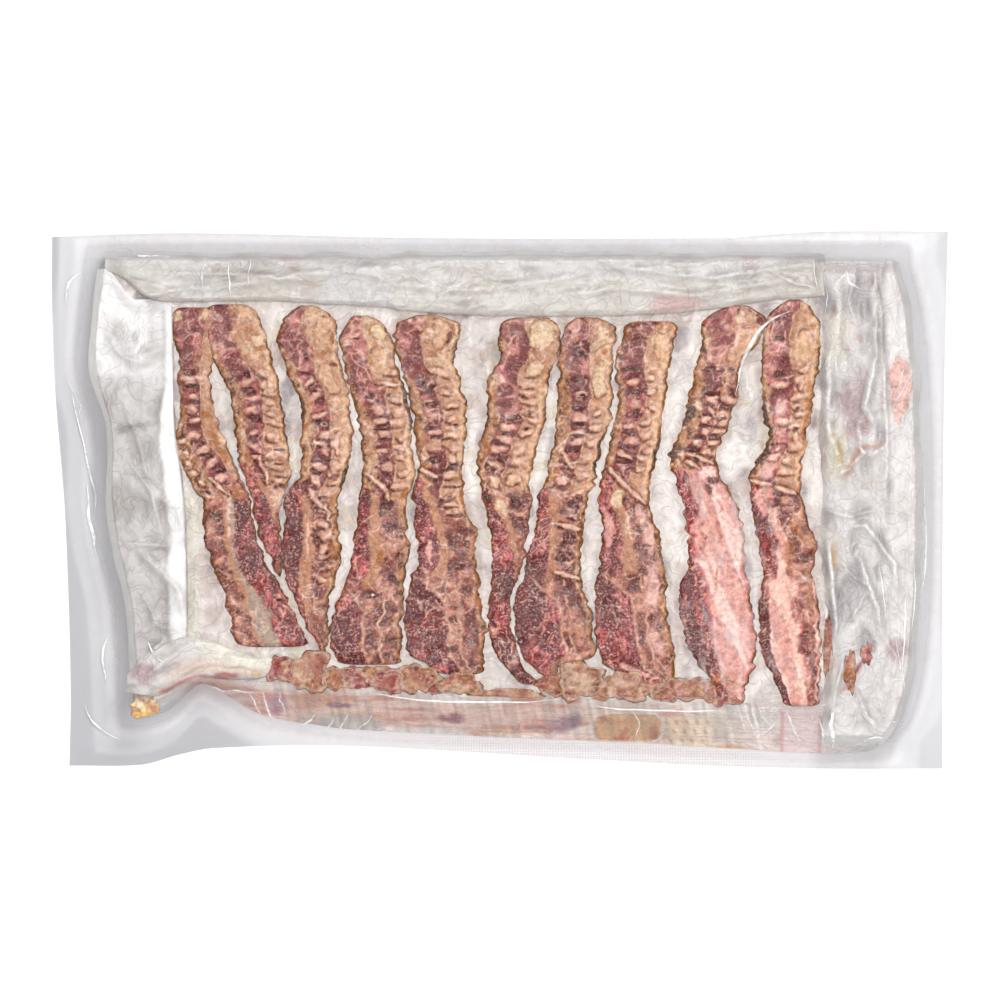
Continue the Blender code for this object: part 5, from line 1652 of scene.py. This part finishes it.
def parchment_material(name):
    """Greasy baking parchment: its own tint, fine wrinkles painted as bright highlight and grey shade lines,
    and bent facets.
    """
    nodes = Nodes(name)
    place = nodes.add("TexCoord", out="Object")
    crinkle = nodes.read("crinkle")

    def wrinkle(scale, twist, width):
        """1 along thin branching lines, 0 beside them."""
        off = nodes.add("Math", nodes.noise(place, scale, 2.0, 0.5, twist), 0.5, operation="SUBTRACT")
        return nodes.remap(nodes.add("Math", off, operation="ABSOLUTE"), 0.0, width, 1.0, 0.0)

    bright, grey = wrinkle(95.0, 0.9, 0.035), wrinkle(120.0, 1.2, 0.04)
    soak = nodes.noise(place, 150.0, 5.0, 0.6)
    light = nodes.remap(soak, 0.3, 0.7, 0.91, 1.07)
    colour = nodes.add("VectorMath", operation="SCALE", in_Vector=nodes.read("tint", "Color"), in_Scale=light)
    # Grey wrinkle lines are painted shade and bright ones painted highlight.
    colour = nodes.blend(nodes.times(nodes.times(grey, 0.2), crinkle), colour, srgb(138, 128, 130))
    colour = nodes.blend(nodes.times(nodes.times(bright, 0.6), crinkle), colour, srgb(250, 248, 245))
    bent = nodes.add("VectorMath", soak, (0.008, 0.008, 0.008), place, operation="MULTIPLY_ADD")
    facets = nodes.add("TexVoronoi", feature="DISTANCE_TO_EDGE", in_Vector=bent, in_Scale=150.0)
    height = nodes.add("Math", bright, nodes.remap(facets, 0.0, 0.3, 0.9, 0.0), operation="ADD")
    height = nodes.times(height, nodes.remap(crinkle, 0.0, 0.7, 0.3, 1.0))
    skin = nodes.add("BsdfPrincipled", in_Base_Color=colour, in_Roughness=0.4, in_Specular_IOR_Level=0.4,
                     in_Normal=nodes.bump(height, 0.6, 0.001))
    return nodes.finish(skin)


def film_material():
    """Clear film: nearly all see-through, faintly grey, glossier at a slant and milky in places."""
    nodes = Nodes("clear_film")
    place = nodes.add("TexCoord", out="Object")
    # The rim attribute greys the film along its cut edge and, as painted shade, over the margins.
    grey = nodes.blend(nodes.read("rim"), (0.984, 0.983, 0.987), (0.8, 0.8, 0.81))
    clear = nodes.add("BsdfTransparent", in_Color=grey)
    ripple = nodes.bump(nodes.noise(place, 260.0, 3.0), 0.35, 0.0008)
    gloss = nodes.add("BsdfGlossy", in_Color=(1.0, 1.0, 1.0), in_Roughness=0.2, in_Normal=ripple)
    slant = nodes.add("Fresnel", in_IOR=1.5)
    shine = nodes.add("MixShader", nodes.times(slant, 0.22), clear, gloss)
    milk = nodes.add("BsdfDiffuse", in_Color=srgb(246, 240, 240))
    uneven = nodes.remap(nodes.noise(place, 90.0, 5.0, 0.6), 0.35, 0.65, 0.5, 1.4)
    dots = nodes.add("TexVoronoi", in_Vector=place, in_Scale=800.0, in_Randomness=0.0)
    dotted = nodes.times(nodes.remap(dots, 0.2, 0.5, 0.0, 0.14), nodes.read("emboss"))
    amount = nodes.add("Math", uneven, nodes.read("haze"), dotted, operation="MULTIPLY_ADD")
    return nodes.finish(nodes.add("MixShader", amount, shine, milk))


def crease_material():
    """A crease in the film: milky and glossy, half see-through."""
    nodes = Nodes("film_crease")
    patchy = nodes.noise(nodes.add("TexCoord", out="Object"), 220.0, 3.0)
    clear = nodes.add("BsdfTransparent", in_Color=(0.96, 0.96, 0.96))
    white = nodes.add("BsdfPrincipled", in_Base_Color=(0.94, 0.94, 0.94), in_Roughness=0.25)
    return nodes.finish(nodes.add("MixShader", nodes.remap(patchy, 0.35, 0.6, 0.25, 0.9), clear, white))


# ---- making the pack -----------------------------------------------------------------------------------

def grid_piece(name, columns, rows, place, material, base):
    """A piece made from a closed grid; without a base, place itself puts down the underside."""
    shape = even_grid(columns, rows)
    close_below(shape)
    return finish_piece(name, shape, place, material, base)


def build_pack():
    """Every piece of the pack, from the stack up to the film, which is drawn down over all the others."""
    bacon = meat_material("cooked_bacon", 1.0 * MM)
    ends = meat_material("cooked_bacon_ends", 1.1 * MM)
    lower = parchment_material("pressed_layers")
    parchment = parchment_material("greasy_parchment")
    film = film_material()
    contents = []

    stack = finish_piece("lower_layers", drum_shape(*STACK_GRID), stack_place, lower)
    sheet = grid_piece("top_sheet", *SHEET_GRID, sheet_place, parchment, SHEET_BASE)
    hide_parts("parchment_sheet")
    contents += [stack, sheet]
    for name, node, size, place, base in (
            ("left_flap", "parchment_flap_left", LEFT_GRID, left_flap_place, FLAP_BASE),
            ("back_flap", "parchment_flap_back", BACK_GRID, back_flap_place, FLAP_BASE),
            ("right_fold", "parchment_fold_right", RIGHT_GRID, right_fold_place, FOLD_BASE),
            ("corner_roll", "parchment_roll_front", ROLL_GRID, roll_place, SLICE_Z)):
        piece = grid_piece(name, *size, place, parchment, base)
        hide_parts(node)
        contents.append(piece)
    fold_top = spread(height_map([bpy.data.objects["right_fold"]]), 1)
    for number, name in enumerate(SLICES):
        piece = grid_piece("bacon_" + name, *SLICE_GRID, slice_place(name, number), bacon, SLICE_Z)
        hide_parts(name)
        contents.append(piece)
    for number, (*shape, base, look) in enumerate(ENDS, 1):
        place = end_place(*shape, base, look, 2.3 * number, fold_top)
        piece = grid_piece(f"bacon_end_{number:02d}", *END_GRID, place, ends, None)
        if number <= NODE_ENDS:
            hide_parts(f"lower_piece_{number:02d}")
        contents.append(piece)
    level = film_level(contents)
    skin = grid_piece("film", *FILM_GRID, film_place(level), film, FILM_BASE)
    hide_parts("vacuum_bag")
    creases = finish_piece("film_creases", creases_shape(), creases_place(level), crease_material())


def studio():
    """A white table in a pale room, with three soft lights overhead, one from the front, and the camera."""
    shape = bmesh.new()
    bmesh.ops.create_grid(shape, x_segments=1, y_segments=1, size=4.0)
    mesh = bpy.data.meshes.new("table")
    shape.to_mesh(mesh)
    shape.free()
    nodes = Nodes("white_table")
    white = (0.93, 0.93, 0.93)
    matt = nodes.add("BsdfPrincipled", in_Base_Color=white, in_Roughness=0.9, in_Specular_IOR_Level=0.0)
    mesh.materials.append(nodes.finish(matt))
    table = bpy.data.objects.new("table", mesh)
    bpy.context.scene.collection.objects.link(table)

    def soft_light(name, place, size, power):
        light = bpy.data.lights.new(name, "AREA")
        light.shape = "DISK"
        light.size = size
        light.energy = power
        lamp = bpy.data.objects.new(name, light)
        lamp.location = place
        away = -lamp.location.normalized()
        lamp.rotation_euler = away.to_track_quat("-Z", "Y").to_euler()
        bpy.context.scene.collection.objects.link(lamp)

    soft_light("key", (0.3, 0.72, 2.3), 0.6, 25.0)
    soft_light("left", (-0.45, 0.0, 2.3), 1.0, 14.0)
    soft_light("right", (0.45, 0.0, 2.3), 1.0, 14.0)
    soft_light("front", (-0.2, -1.5, 1.8), 1.4, 9.0)
    world = bpy.data.worlds.new("white_room")
    world.use_nodes = True
    world.node_tree.nodes["Background"].inputs["Color"].default_value = (1.0, 1.0, 1.0, 1.0)
    world.node_tree.nodes["Background"].inputs["Strength"].default_value = 0.36
    bpy.context.scene.world = world
    bpy.context.scene.view_settings.view_transform = "Standard"

    camera = bpy.data.cameras.new("camera")
    camera.sensor_width = 36.0
    camera.lens = 36.0 * 12.0 / 0.46
    camera.clip_end = 50.0
    eye = bpy.data.objects.new("camera", camera)
    eye.location = (0.0, 0.0, 12.0)
    bpy.context.scene.collection.objects.link(eye)
    bpy.context.scene.camera = eye


build_pack()
studio()
